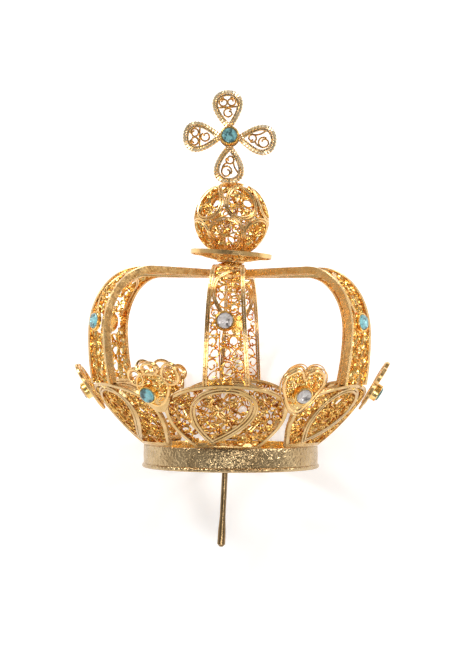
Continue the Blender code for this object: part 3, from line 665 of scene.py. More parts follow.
def packed(points, room, radii, draw, spare=0.0):
    """Fills the room with circles, each as tight as it fits; spare leaves some places open."""
    found = []
    room = room.copy()
    for largest, smallest in radii:
        while True:
            radius = draw.uniform(smallest, largest)
            fits = np.flatnonzero(room >= radius)
            if len(fits) == 0:
                fits = np.flatnonzero(room >= smallest)
                if len(fits) == 0:
                    break
                radius = smallest
            tightness = room[fits] + np.array([draw.uniform(0.0, 0.25) for _ in range(len(fits))])
            pick = fits[int(np.argmin(tightness))]
            centre = points[pick]
            room = np.minimum(room, np.linalg.norm(points - centre, axis=1) - radius)
            if draw.random() >= spare:
                found.append((centre[0], centre[1], radius))
    return found


def scroll(x, y, radius, turns, start, hand, wire, tilt=(0.0, 0.0), rise=0.0, hold=0.85):
    """Gives the route of one scroll: it holds its rim for most of a turn, then winds in."""
    steps = max(8, round(12 * turns))
    share = np.linspace(0.0, 1.0, steps + 1)
    angle = start + hand * 2.0 * math.pi * turns * share
    inward = np.maximum(0.0, share * turns - hold) / max(turns - hold, 0.1)
    reach = (radius - 0.3 * wire) * (1.0 - 0.72 * np.minimum(inward, 1.0) ** 0.9)
    across = reach * np.cos(angle)
    along = reach * np.sin(angle)
    up = rise + tilt[0] * across + tilt[1] * along
    return np.column_stack([x + across, y + along, up])


def scrolls(circles, wire, draw, turns=(1.5, 2.2), loose=0.12, rings=0.0):
    """Gives scrolls for the large circles, open rings for the small ones and for a share of all."""
    routes = []
    for x, y, radius in circles:
        tilt = (draw.uniform(-loose, loose), draw.uniform(-loose, loose))
        rise = draw.uniform(-0.5, 0.5) * loose
        count = draw.uniform(*turns) if radius > RING_RADIUS else 0.97
        hold = 0.85
        if draw.random() < rings:
            count = 0.98
            hold = 2.0
        routes.append(scroll(x, y, radius, count, draw.uniform(0.0, 2.0 * math.pi),
                             draw.choice((-1, 1)), wire, tilt, rise, hold))
    return routes


def uneven(seed, amount=0.12, pitch=2.2):
    """Gives a function that presses flat scrollwork a little out of round, as when it is fitted by hand."""
    draw = random.Random(seed)
    a, b, c, d = (draw.uniform(0.0, RANDOM_TURN) for _ in range(4))

    def place(points):
        x, y, _ = points.T
        across = amount * (np.sin(pitch * y + a) + np.sin(0.7 * pitch * (x + y) + b))
        along = amount * (np.sin(pitch * x + c) + np.sin(0.8 * pitch * (x - y) + d))
        return points + np.column_stack([across, along, np.zeros(len(points))])

    return place


def hand_bent(seed, amount):
    """Gives a function that bends a piece a little out of true, as handwork is."""
    draw = random.Random(seed)
    waves = []
    for _ in range(4):
        pitch = np.array([draw.uniform(-1, 1) for _ in range(3)]) * 0.35
        phase = draw.uniform(0, RANDOM_TURN)
        waves.append((pitch, phase, np.array([draw.uniform(-1, 1) for _ in range(3)])))

    def place(points):
        shift = np.zeros_like(points)
        for pitch, phase, way in waves:
            shift += np.sin(points @ pitch + phase)[:, None] * way
        return points + amount * 0.5 * shift

    return place


# Each section is its width, its depth and how far its edges slope off
STRIP_SECTION = section("strip_section", STRIP, SHEET + 0.1, 0.10)
FINE_STRIP_SECTION = section("fine_strip_section", FINE_STRIP, SHEET, 0.10)
RAIL_SECTION = section("rail_section", 0.38, 1.45, 0.07)
TWIN_SECTION = section("twin_section", 0.36, 0.9, 0.07)
LACE_SECTION = section("lace_section", 0.30, 0.60, 0.14)
LINING_SECTION = section("lining_section", 0.50, 0.6, 0.15)
RIM_SECTION = section("rim_section", 0.45, 1.3, 0.10)
FOOT_SECTION = section("foot_section", 1.1, 0.7, 0.10)
WIRE_SECTION = section("wire_section", WIRE, 0.60, 0.12)
THIN_WIRE_SECTION = section("thin_wire_section", THIN_WIRE, 0.50, 0.085)
CROSS_WIRE_SECTION = section("cross_wire_section", CROSS_WIRE, 0.45, 0.12)
CROSS_SECTION = section("cross_section", 0.78, 1.0, 0.2)


# Shapes to bend flat work onto


class Profile:
    """A smooth chain of points (radius, height) with its outward normals, read at lengths along it."""

    def __init__(self, points):
        points = np.asarray(points, dtype=float)
        before = 2.0 * points[0] - points[1]
        after = 2.0 * points[-1] - points[-2]
        points = np.vstack([before + 4.0 * (before - points[0]), points, after + 4.0 * (after - points[-1])])
        steps = np.hypot(*np.diff(points, axis=0).T)
        self.lengths = np.concatenate([[0.0], np.cumsum(steps)]) - steps[0]
        self.length = self.lengths[-2]
        self.points = points
        way = np.gradient(points, self.lengths, axis=0)
        way /= np.linalg.norm(way, axis=1, keepdims=True)
        self.outward = np.column_stack([way[:, 1], -way[:, 0]])

    def at(self, along):
        """Gives radius, height and the two parts of the outward normal at lengths."""
        return [np.interp(along, self.lengths, column)
                for column in (*self.points.T, *self.outward.T)]

    def length_at(self, height):
        """Gives the length at which the chain first reaches a height."""
        i = int(np.argmax(self.points[:, 1] >= height))
        low, high = self.points[i - 1, 1], self.points[i, 1]
        share = (height - low) / (high - low)
        return self.lengths[i - 1] + share * (self.lengths[i] - self.lengths[i - 1])


def bowl_profile():
    """Gives the section of the bowl from the band to the petals' tips."""
    foot = np.array([BAND_RADIUS - BAND_WALL / 2.0, BAND_HEIGHT + SOLDER_GAP])
    tip = np.array([BOWL_TOP_RADIUS, BOWL_TOP_HEIGHT])
    out = np.array([tip[1] - foot[1], foot[0] - tip[0]])
    out /= np.linalg.norm(out)
    share = np.linspace(0.0, 1.0, 25)[:, None]
    return Profile(foot + (tip - foot) * share + out * 4.0 * BOWL_BULGE * share * (1.0 - share))


def arch_profile():
    """Gives the section of an arch: a leaning side, a round shoulder and a flat top."""
    foot_height = BOWL_TOP_HEIGHT + SOLDER_GAP + SHEET / 2.0
    side = BOWL_TOP_RADIUS + ARCH_FLARE
    x, y = (side - ARCH_BEND_RADIUS, ARCH_TOP_HEIGHT - ARCH_BEND_HEIGHT)
    points = []
    for share in np.linspace(0.0, 1.0, 8, endpoint=False):
        points.append((side - ARCH_FLARE * (1.0 - share) ** 2, foot_height + share * (y - foot_height)))
    for angle in np.linspace(0.0, 0.5 * math.pi, 28):
        points.append((x + ARCH_BEND_RADIUS * math.cos(angle), y + ARCH_BEND_HEIGHT * math.sin(angle)))
    for share in np.linspace(0.0, 1.0, 8)[1:]:
        points.append((x + share * (ARCH_END_RADIUS - x), ARCH_TOP_HEIGHT - ARCH_TOP_DIP * share))
    return Profile(points)


BOWL = bowl_profile()
ARCH = arch_profile()


def onto_bowl(flat):
    """Carries flat points onto the front of the bowl."""
    radius, height, outward, upward = BOWL.at(flat[:, 1])
    angle = flat[:, 0] / radius
    reach = radius + outward * flat[:, 2]
    return np.column_stack([reach * np.sin(angle), -reach * np.cos(angle), height + upward * flat[:, 2]])


def onto_arch(flat):
    """Carries flat points onto the front arch."""
    radius, height, outward, upward = ARCH.at(flat[:, 1])
    return np.column_stack([flat[:, 0], -radius - outward * flat[:, 2], height + upward * flat[:, 2]])


def onto_globe(longitude, latitude):
    """Gives a function that carries a flat patch onto the globe at a longitude and latitude in radians."""
    out = np.array([math.sin(longitude) * math.cos(latitude), -math.cos(longitude) * math.cos(latitude),
                    math.sin(latitude)])
    east = np.array([math.cos(longitude), math.sin(longitude), 0.0])
    north = np.cross(out, east)
    radius = GLOBE_SHEET_RADIUS

    def place(flat):
        away = np.hypot(flat[:, 0], flat[:, 1])
        angle = away / radius
        share = np.where(away > 1e-9, np.sin(angle) / np.maximum(away, 1e-9), 1.0 / radius)
        way = (np.outer(np.cos(angle), out) + np.outer(share * flat[:, 0], east)
               + np.outer(share * flat[:, 1], north))
        return way * (radius + flat[:, 2])[:, None]

    return place


# Petals


def petal_half_width(length):
    """Gives half the width of a petal at a length up the bowl."""
    share = min(1.0, max(0.0, length / BOWL.length))
    if share < PETAL_WIDE_SHARE:
        swell = math.sin(0.5 * math.pi * share / PETAL_WIDE_SHARE)
        angle = PETAL_FOOT_ANGLE + (PETAL_WIDE_ANGLE - PETAL_FOOT_ANGLE) * swell
    else:
        past = (share - PETAL_WIDE_SHARE) / (1.0 - PETAL_WIDE_SHARE)
        angle = PETAL_WIDE_ANGLE * math.sqrt(max(0.0, 1.0 - past ** PETAL_TIP_POWER))
    return angle * float(BOWL.at(length)[0])


def petal_outline():
    """Gives the flat outline of a petal."""
    lengths = BOWL.length * np.sin(0.5 * math.pi * np.linspace(0.0, 1.0, 33))
    right = [(petal_half_width(length), length) for length in lengths]
    left = [(-x, y) for x, y in reversed(right[:-1])]
    foot = [(x * right[0][0], 0.0) for x in (-0.6, -0.2, 0.2, 0.6)]
    return np.array(right + left + foot)


def petal(seed, plain_foot):
    """Makes one petal: an outer frame, a leaning double teardrop, a strip along its side, and scrolls."""
    draw = random.Random(seed)
    outline = petal_outline()
    edge = offset(outline, STRIP / 2.0)
    drop = teardrop(DROP_HALF_WIDTH, DROP_FOOT, BOWL.length - DROP_TIP_GAP, lean=DROP_LEAN)
    swell = drop[len(drop) // 2 + 2:-3] + SWELL_SHIFT
    parts = [laid("petal_frame", [edge], STRIP_SECTION, SHADED_BOWL_STRIP_GILT, closed=True),
             laid("petal_drop", twinned([drop], -DROP_TWIN_GAP), FINE_STRIP_SECTION, SHADED_BOWL_STRIP_GILT,
                  closed=True),
             laid("petal_swell", [swell], FINE_STRIP_SECTION, SHADED_BOWL_STRIP_GILT)]
    lines = [(edge, True, STRIP / 2.0), (drop, True, DROP_TWIN_GAP + FINE_STRIP / 2.0),
             (swell, False, FINE_STRIP / 2.0)]
    points, room = room_in(outline, lines)
    within = inside(points, drop)
    circles = packed(points[within], room[within], DROP_SCROLLS, draw, spare=0.14)
    circles += packed(points[~within], room[~within], PETAL_SCROLLS, draw, spare=0.12)
    routes = scrolls(circles, WIRE, draw, turns=(1.15, 1.75), rings=0.25)
    parts.append(mapped(laid("petal_scrolls", routes, WIRE_SECTION, SHADED_BOWL_WIRE_GILT), uneven(seed)))
    if plain_foot:
        half = petal_half_width(0.0) - PETAL_FOOT_INSET
        foot = [(x * half, PETAL_FOOT_RISE) for x in (-1.0, -0.5, 0.0, 0.5, 1.0)]
        parts.append(laid("petal_foot", [foot], FOOT_SECTION, SHADED_BOWL_STRIP_GILT))
    return joined("petal", parts)


def add_petals():
    """Adds the six petals of the bowl; all but the front one have a plain foot."""
    patterns = [petal(11, plain_foot=False), petal(12, plain_foot=True)]
    for i in range(COPIES):
        leaf = copied(patterns[min(i, 1)], f"filigree_petal_{i + 1}")
        mapped(leaf, hand_bent(20 + i, PETAL_BEND))
        mapped(leaf, onto_bowl)
        moved(smoothed(leaf), turned_to(i))
        laid_down(leaf, "gilt_filigree", f"petal_{i + 1}")
    removed(patterns)


# Arches


def arch_half_width(length):
    """Gives half the width of an arch at a length up from its foot."""
    shoulder = ARCH.length_at(ARCH_TOP_HEIGHT - ARCH_SHOULDER_DROP)
    if length < shoulder:
        return 0.5 * (ARCH_FOOT_WIDTH + (ARCH_SHOULDER_WIDTH - ARCH_FOOT_WIDTH) * length / shoulder)
    past = (length - shoulder) / (ARCH.length - shoulder)
    return 0.5 * (ARCH_SHOULDER_WIDTH + (ARCH_END_WIDTH - ARCH_SHOULDER_WIDTH) * past)


def arch():
    """Makes one arch: double rails, an end strip, two leaves above the stone, a stem below, and scrolls."""
    draw = random.Random(23)
    stone_at = ARCH.length_at(ARCH_STONE_HEIGHT)
    right = np.array([(arch_half_width(length), length) for length in np.linspace(0.0, ARCH.length, 60)])
    right = np.vstack([(right[0][0], -ARCH_FOOT_REACH), right])
    left = right * (-1.0, 1.0)
    inset = np.array((STRIP / 2.0, 0.0))
    rails = [right - inset, left + inset]
    end = np.array([left[-1] + inset, right[-1] - inset]) - (0.0, STRIP / 2.0)
    leaf = rounded([(-1.0, stone_at + 1.9), (-2.2, stone_at + 4.4), (-2.35, stone_at + 7.0),
                    (-1.4, stone_at + 9.6), (0.6, stone_at + 11.4), (2.6, stone_at + 12.2)])
    far_leaf = rounded([(2.4, stone_at + 13.4), (0.2, stone_at + 14.6), (-1.5, stone_at + 17.2),
                        (-1.6, stone_at + 20.5), (0.0, ARCH.length - 1.0)])
    stem = rounded([(-1.1, stone_at - 1.8), (-1.25, stone_at - 5.0), (-1.2, 3.0), (-1.0, -0.6)])
    twin_rails = [rail + (side * RAIL_TWIN_GAP, 0.0) for rail in rails for side in (-1.0, 1.0)]
    parts = [laid("arch_rails", twin_rails + [end], RAIL_SECTION, STRIP_GILT),
             laid("arch_leaves", twinned([leaf, far_leaf], LEAF_TWIN_GAP, closed=False), TWIN_SECTION,
                  STRIP_GILT),
             laid("arch_stem", [stem], WIRE_SECTION, WIRE_GILT)]
    seat = ellipse(0.0, stone_at, CUP_RADIUS - 0.3, CUP_RADIUS - 0.3)
    lines = [(route, False, STRIP / 2.0) for route in (*rails, end)]
    lines += [(leaf, False, FINE_STRIP / 2.0), (far_leaf, False, FINE_STRIP / 2.0),
              (stem, False, WIRE / 2.0), (seat, True, 0.3)]
    points, room = room_in(np.vstack([right, left[::-1]]), lines)
    clear = np.hypot(points[:, 0], points[:, 1] - stone_at) > CUP_RADIUS
    points, room = points[clear], room[clear]
    low = points[:, 1] < stone_at - LACE_TOP_DROP
    open_lace = packed(points[low], room[low], LACE_SCROLLS, draw, spare=0.06)
    dense = packed(points[~low], room[~low], ARCH_SCROLLS, draw, spare=0.10)
    routes = scrolls(open_lace, WIRE, draw, turns=(1.1, 1.5), rings=0.7)
    lace = laid("arch_lace", routes, LACE_SECTION, WIRE_GILT, grains=GRAINS)
    parts.append(mapped(lace, uneven(5, amount=0.16, pitch=1.9)))
    routes = scrolls(dense, WIRE, draw, turns=(1.15, 1.6), rings=0.3)
    parts.append(mapped(laid("arch_scrolls", routes, WIRE_SECTION, WIRE_GILT), uneven(6)))
    return joined("arch", parts)


def add_arches():
    """Adds the six arches."""
    pattern = arch()
    for i in range(COPIES):
        bow = copied(pattern, f"filigree_arch_{i + 1}")
        mapped(bow, hand_bent(40 + i, ARCH_BEND))
        moved(bow, sideways(ARCH_SWAYS[i]))
        mapped(bow, onto_arch)
        moved(smoothed(bow), turned_to(i))
        laid_down(bow, "gilt_filigree", f"arch_{i + 1}")
    removed([pattern])


# Florets


def floret_outward():
    """Gives the direction that a front floret faces."""
    return Vector((0.0, -math.cos(FLORET_LEAN), -math.sin(FLORET_LEAN)))


def floret_seat(i):
    """Gives the matrix that sets a flat floret on its solid, its stone's place at the middle."""
    stone = on_crown(f"floret_stone_{i + 1}")
    reach = SHEET / 2.0 + CUP_GAP + FLORET_CUP_DEPTH * STONE_SHARE
    middle = Vector((0.0, -math.hypot(stone.x, stone.y), stone.z)) - floret_outward() * reach
    lean = Matrix.Rotation(0.5 * math.pi + FLORET_LEAN, 4, "X")
    return turned_to(i + 0.5) @ Matrix.Translation(middle) @ lean


def loop_floret():
    """Makes the floret with three open loops over a round body and a plain tab."""
    draw = random.Random(31)
    loops = [ellipse(*side) for side in SIDE_LOOPS] + [ellipse(*TOP_LOOP)]
    linings = [ellipse(x, y, width - LOOP_LINING_GAP, height - LOOP_LINING_GAP, turn)
               for x, y, width, height, turn in SIDE_LOOPS]
    body = rounded([(-3.2, 0.6), (-2.6, 3.0), (-0.9, 3.9), (1.4, 3.9), (3.3, 3.2), (3.7, 0.6), (1.9, -2.2),
                    (0.0, -3.2), (-1.9, -2.2)], closed=True)
    curls = [scroll(loop[0], loop[1] - LOOP_CURL_DROP, 1.0, 1.2, 1.6, hand, WIRE)
             for loop, hand in zip(SIDE_LOOPS, (1, -1))]
    parts = [laid("loop_strips", loops + [body], FINE_STRIP_SECTION, STRIP_GILT, closed=True),
             laid("loop_linings", linings, THIN_WIRE_SECTION, STRIP_GILT, closed=True),
             laid("loop_curls", curls, THIN_WIRE_SECTION, WIRE_GILT)]
    points, room = room_in(body, [(body, True, FINE_STRIP / 2.0)])
    circles = packed(points, room, FLORET_SCROLLS, draw)
    parts.append(laid("loop_scrolls", scrolls(circles, WIRE, draw), WIRE_SECTION, WIRE_GILT))
    return joined("loop_floret", parts + [floret_tab()])


def heart_floret():
    """Makes the heart-shaped floret, two full lobes that run down to a plain tab."""
    draw = random.Random(37)
    half = [(0.9, 4.6), (2.4, 5.0), (4.1, 4.0), (4.5, 2.0), (3.5, -0.6), (1.6, -3.6)]
    other_half = [(-x, y) for x, y in reversed(half)]
    heart = rounded([(0.0, 2.9), *half, (0.0, -4.6), *other_half], closed=True) * HEART_SHARE
    inner = offset(heart, HEART_LINING_GAP)
    parts = [laid("heart_strip", [heart], FINE_STRIP_SECTION, STRIP_GILT, closed=True),
             laid("heart_lining", [inner], THIN_WIRE_SECTION, STRIP_GILT, closed=True)]
    points, room = room_in(heart, [(inner, True, THIN_WIRE / 2.0), (heart, True, FINE_STRIP / 2.0)])
    circles = packed(points, room, FLORET_SCROLLS, draw)
    parts.append(laid("heart_scrolls", scrolls(circles, WIRE, draw), WIRE_SECTION, WIRE_GILT))
    return joined("heart_floret", parts + [floret_tab()])


def floret_tab():
    """Makes the plain plate at a floret's foot, which is soldered between two petals."""
    tab = added(bpy.ops.mesh.primitive_grid_add, x_subdivisions=8, y_subdivisions=8, size=1.0)

    def plate(points):
        share = points[:, 1] + 0.5
        half = TAB_HALF_WIDTH + TAB_SWELL * np.sin(0.5 * math.pi * share)
        return np.column_stack([2.0 * points[:, 0] * half, TAB_FOOT + TAB_LENGTH * share, 0.0 * share])

    return dressed(walled(mapped(tab, plate), TAB_WALL, 0.0, rim=0.1), SHADED_BOWL_STRIP_GILT)


def add_florets():
    """Adds the six florets, hearts and loops in turn."""
    patterns = [heart_floret(), loop_floret()]
    for i in range(COPIES):
        floret = copied(patterns[i % 2], f"filigree_floret_{i + 1}")
        mapped(floret, hand_bent(60 + i, FLORET_BEND))
        moved(smoothed(floret), floret_seat(i) @ sideways(FLORET_SWAYS[i]))
        laid_down(floret, "gilt_filigree", f"floret_{i + 1}")
    removed(patterns)


# Stones in their cups


def bezel(depth):
    """Makes a stone's cup: a turned wall with a rolled lip and a grained foot."""
    cup = added(bpy.ops.mesh.primitive_cylinder_add, vertices=40, radius=CUP_RADIUS - CUP_STEP, depth=depth,
                end_fill_type="NGON", location=(0.0, 0.0, depth / 2.0))
    picked(cup, lambda face: face.normal.z > 0.9)
    bpy.ops.mesh.inset(thickness=CUP_WALL)
    bpy.ops.transform.translate(value=(0.0, 0.0, CUP_FLOOR - depth))
    bpy.ops.object.mode_set(mode="OBJECT")
    lip = added(bpy.ops.mesh.primitive_torus_add, major_radius=CUP_RADIUS - LIP_STEP, minor_radius=LIP_WIRE,
                major_segments=40, minor_segments=8, location=(0.0, 0.0, depth))
    foot = added(bpy.ops.mesh.primitive_torus_add, major_radius=CUP_RADIUS - CUP_STEP,
                 minor_radius=FOOT_WIRE, major_segments=40, minor_segments=6,
                 location=(0.0, 0.0, FOOT_WIRE / 2.0))

    def grained(points):
        angle = np.arctan2(points[:, 1], points[:, 0])
        swell = 1.0 + 0.05 * np.abs(np.sin(0.5 * FOOT_GRAINS * angle))
        return points * np.column_stack([swell, swell, np.ones(len(points))])

    mapped(foot, grained)
    return dressed(smoothed(joined("bezel", [cup, lip, foot])), WIRE_GILT)


def stone(depth, glass, pavilion):
    """Makes a round cut stone: a table and two rows of facets above, a foil-backed cone below."""
    gem = added(bpy.ops.mesh.primitive_uv_sphere_add, segments=12, ring_count=8, radius=STONE_RADIUS)
    girdle = depth + STONE_LIFT

    def cut(points):
        radius = np.hypot(points[:, 0], points[:, 1])
        high = np.minimum(points[:, 2] * STONE_CROWN_SHARE, STONE_TABLE)
        low = -(STONE_RADIUS - radius) * pavilion
        return np.column_stack([points[:, :2], girdle + np.where(points[:, 2] > 0.0, high, low)])

    mapped(gem, cut)
    dressed(gem, glass)
    gem.data.materials.append(FOIL)
    for face in gem.data.polygons:
        face.material_index = int(face.center.z < girdle - 0.02)
    return gem


def jewel_outward(name, number):
    """Gives the direction that a jewel faces in the crown's frame."""
    if name == "cross":
        return Vector((0.0, -1.0, 0.0))
    if name == "floret":
        return turned_to(number - 0.5) @ floret_outward()
    _, _, out, up = ARCH.at(ARCH.length_at(ARCH_STONE_HEIGHT))
    return turned_to(number - 1) @ Vector((0.0, -float(out), float(up)))


def add_jewel(name, number, cup_pattern, stone_pattern):
    """Adds a cup and its stone where their solids are, each stone turned another way."""
    suffix = f"_{number}" if number else ""
    cup_node = f"{name}_cup{suffix}"
    outward = jewel_outward(name, number)
    middle = on_crown(cup_node)
    back = CROWN.inverted()
    foot = min((back @ Vector(point) - middle).dot(outward) for point in node_points(cup_node))
    facing = outward.to_track_quat("Z", "Y").to_matrix().to_4x4()
    spin = Matrix.Rotation(STONE_SPIN * number, 4, "Z")
    seat = Matrix.Translation(middle + outward * foot) @ facing @ spin
    cup = copied(cup_pattern, f"bezel_{name}{suffix}")
    laid_down(moved(cup, seat), "gilt_filigree", cup_node)
    gem = copied(stone_pattern, f"cut_stone_{name}{suffix}")
    slot = "blue_glass" if stone_pattern.data.materials[0] == BLUE_GLASS else "clear_glass"
    laid_down(moved(gem, seat), slot, f"{name}_stone{suffix}")


def add_jewels():
    """Adds all stones in their cups, blue and clear in turn; the cross has one, without a number."""
    numbers = range(1, COPIES + 1)
    for name, depth, pavilion, places in (("arch", ARCH_CUP_DEPTH, FLAT_PAVILION, numbers),
                                          ("floret", FLORET_CUP_DEPTH, DEEP_PAVILION, numbers),
                                          ("cross", ARCH_CUP_DEPTH, FLAT_PAVILION, [0])):
        cup = bezel(depth)
        stones = [stone(depth, glass, pavilion) for glass in (BLUE_GLASS, CLEAR_GLASS)]
        for number in places:
            add_jewel(name, number, cup, stones[number % 2])
        removed([cup, *stones])


# Band, crossbar and pin


def add_band():
    """Adds the plain planished band with a rolled wire along its lower edge; its inside takes the more
    orange wire gilding, a painted reflection of the filigree's deep orange.
    """
    band = added(bpy.ops.mesh.primitive_cylinder_add, vertices=192, radius=BAND_RADIUS,
                 depth=BAND_HEIGHT - BAND_FOOT, end_fill_type="NOTHING",
                 location=(0.0, 0.0, (BAND_HEIGHT + BAND_FOOT) / 2.0))
    bpy.ops.object.mode_set(mode="EDIT")
    bpy.ops.mesh.select_all(action="SELECT")
    bpy.ops.mesh.subdivide(number_cuts=4)
    bpy.ops.object.mode_set(mode="OBJECT")

    def planished(points):
        x, y, z = points.T
        angle = np.arctan2(y, x)
        wave = (np.sin(9.0 * angle + 0.9 * z) + np.sin(23.0 * angle - 1.7 * z)
                + np.sin(41.0 * angle + 2.6 * z + 1.0))
        reach = (1.0 + BAND_DENT * wave / BAND_RADIUS) * (BAND_RADIUS / np.hypot(x, y))
        return points * np.column_stack([reach, reach, np.ones(len(points))])

    dressed(walled(mapped(band, planished), BAND_WALL, -1.0, rim=0.12, sharp=60.0), SHEET_GILT)
    # The inside's orange wire gilding is painted reflection, standing in for the deep orange that the gold
    # mirrors there
    band.data.materials.append(WIRE_GILT)
    for face in band.data.polygons:
        face.material_index = int(math.hypot(face.center.x, face.center.y) < BAND_RADIUS - 0.7 * BAND_WALL)
    roll = added(bpy.ops.mesh.primitive_torus_add, major_radius=BAND_RADIUS - RIM_STEP,
                 minor_radius=RIM_WIRE, major_segments=192, minor_segments=14,
                 location=(0.0, 0.0, RIM_WIRE))
    dressed(roll, SHEET_GILT)
    laid_down(smoothed(joined("plain_band", [band, roll])), "pale_gilt", "band")


def add_pin():
    """Adds the pin with its thicker, bevelled tip and its riveted head."""
    pin = added(bpy.ops.mesh.primitive_cylinder_add, vertices=24, radius=PIN_RADIUS, depth=PIN_LENGTH,
                end_fill_type="NGON", location=(0.0, 0.0, PIN_HEAD_RISE - PIN_LENGTH / 2.0))
    picked(pin, lambda face: face.normal.z < -0.9)
    bpy.ops.transform.translate(value=(0.0, 0.0, PIN_SWELL + PIN_TIP + PIN_POINT))
    for length, share in ((PIN_SWELL, PIN_TIP_RADIUS / PIN_RADIUS), (PIN_TIP, 1.0),
                          (PIN_POINT, PIN_POINT_SHARE)):
        bpy.ops.mesh.extrude_region_move(TRANSFORM_OT_translate={"value": (0.0, 0.0, -length)})
        bpy.ops.transform.resize(value=(share, share, 1.0))
    bpy.ops.object.mode_set(mode="OBJECT")
    head = added(bpy.ops.mesh.primitive_uv_sphere_add, segments=24, ring_count=10, radius=PIN_HEAD_RADIUS)

    def domed(points):
        return np.column_stack([points[:, :2], PIN_HEAD_RISE + 0.5 * np.maximum(points[:, 2], 0.0)])

    mapped(head, domed)
    pin = dressed(smoothed(joined("statue_pin", [pin, head])), PIN_GILT)
    moved(pin, Matrix.Translation(PIN_PLACE) @ Matrix.Rotation(math.radians(PIN_LEAN), 4, "Y"))
    laid_down(pin, "pale_gilt", "pin")


def finish_crossbar():
    """Gives the crossbar, which stays as its solid, its gilt finish."""
    dressed(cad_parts["crossbar"], SHEET_GILT)


# Neck, saucer, globe and cross


def add_neck(shift):
    """Adds the turned neck with its knot of wire rings and grains."""
    base = ARCH_TOP_HEIGHT - ARCH_TOP_DIP
    parts = []
    for rise, radius, wire in NECK_RINGS:
        parts.append(added(bpy.ops.mesh.primitive_torus_add, major_radius=radius, minor_radius=wire,
                           major_segments=40, minor_segments=10, location=(0.0, 0.0, base + rise)))
    for rise, radius, height, sides in NECK_CORES:
        parts.append(added(bpy.ops.mesh.primitive_cylinder_add, vertices=sides, radius=radius, depth=height,
                           end_fill_type="NGON", location=(0.0, 0.0, base + rise)))
    for i in range(2 * NECK_GRAIN_PAIRS):
        angle = math.pi * (i + 0.5) / NECK_GRAIN_PAIRS
        reach, rise = NECK_GRAIN_ROWS[i % 2]
        place = (reach * math.sin(angle), -reach * math.cos(angle), base + rise)
        parts.append(added(bpy.ops.mesh.primitive_ico_sphere_add, subdivisions=2, radius=NECK_GRAIN,
                           location=place))
    neck = dressed(smoothed(joined("turned_neck", parts)), WIRE_GILT)
    laid_down(moved(neck, sideways(shift)), "gilt_filigree", "neck")


def add_saucer(shift):
    """Adds the dished openwork saucer: two rims with a ring of wire loops and scrolls between them."""
    draw = random.Random(53)
    edge = SAUCER_RADIUS - 0.3
    rims = [ellipse(0.0, 0.0, edge, edge, steps=72),
            ellipse(0.0, 0.0, SAUCER_HOLE, SAUCER_HOLE, steps=40)]
    loops = []
    for i in range(SAUCER_LOOPS):
        angle = 2.0 * math.pi * i / SAUCER_LOOPS
        turn = np.array([[math.cos(angle), math.sin(angle)], [-math.sin(angle), math.cos(angle)]])
        loops.append(teardrop(1.85, SAUCER_HOLE + 0.2, SAUCER_RADIUS - 0.7, taper=0.6, steps=30) @ turn)
    parts = [laid("saucer_rims", rims, RIM_SECTION, STRIP_GILT, closed=True),
             laid("saucer_loops", loops, THIN_WIRE_SECTION, STRIP_GILT, closed=True)]
    lines = [(route, True, FINE_STRIP / 2.0) for route in rims]
    lines += [(route, True, THIN_WIRE / 2.0) for route in loops]
    points, room = room_in(rims[0], lines)
    ring = np.hypot(points[:, 0], points[:, 1]) > SAUCER_HOLE
    circles = packed(points[ring], room[ring], SAUCER_SCROLLS, draw)
    routes = scrolls(circles, THIN_WIRE, draw, loose=0.05)
    parts.append(laid("saucer_scrolls", routes, THIN_WIRE_SECTION, WIRE_GILT))

    def dished(points):
        away = np.hypot(points[:, 0], points[:, 1]) / SAUCER_RADIUS
        return np.column_stack([points[:, :2], 0.75 * points[:, 2] - 0.3 + SAUCER_DISH * away ** 1.6])

    plate = smoothed(mapped(joined("openwork_saucer", parts), dished))
    lean = Matrix.Rotation(math.radians(SAUCER_LEAN), 4, "Y")
    laid_down(moved(plate, sideways(shift, SAUCER_HEIGHT) @ lean), "gilt_filigree", "saucer")


def globe_leaf(draw, half_width, low, high, point_up):
    """Makes one flat leaf of the globe: a strip frame, its lining and scrolls inside."""
    leaf = teardrop(half_width, low, high, taper=0.45, steps=40)
    if point_up:
        leaf = leaf[::-1] * (1.0, -1.0)
    lining = offset(leaf, 0.45)
    rings = laid("globe_frame", [leaf, lining], TWIN_SECTION, STRIP_GILT, closed=True)
    points, room = room_in(lining, [(lining, True, 0.18)])
    circles = packed(points, room, GLOBE_SCROLLS, draw, spare=0.05)
    routes = scrolls(circles, WIRE, draw, turns=(1.15, 1.6), rings=0.3)
    fill = laid("globe_scrolls", routes, LACE_SECTION, WIRE_GILT)
    return joined("globe_leaf", [rings, fill])


def globe_cap(way):
    """Makes the small domed disc that closes the globe at a pole, with a bore for what passes through."""
    cap = added(bpy.ops.mesh.primitive_circle_add, vertices=36, radius=CAP_RADII[0], fill_type="NOTHING")
    bpy.ops.object.mode_set(mode="EDIT")
    bpy.ops.mesh.select_all(action="SELECT")
    for inner, outer in zip(CAP_RADII, CAP_RADII[1:]):
        bpy.ops.mesh.extrude_edges_move()
        bpy.ops.transform.resize(value=(outer / inner, outer / inner, 1.0))
    bpy.ops.object.mode_set(mode="OBJECT")

    def domed(points):
        away = (points[:, :2] ** 2).sum(axis=1)
        return np.column_stack([points[:, :2], way * np.sqrt((GLOBE_SHEET_RADIUS + CAP_LIFT) ** 2 - away)])

    walled(mapped(cap, domed), CAP_WALL, 0.0)
    bpy.ops.object.mode_set(mode="EDIT")
    bpy.ops.mesh.select_all(action="SELECT")
    bpy.ops.mesh.normals_make_consistent(inside=False)
    bpy.ops.object.mode_set(mode="OBJECT")
    return dressed(cap, STRIP_GILT)


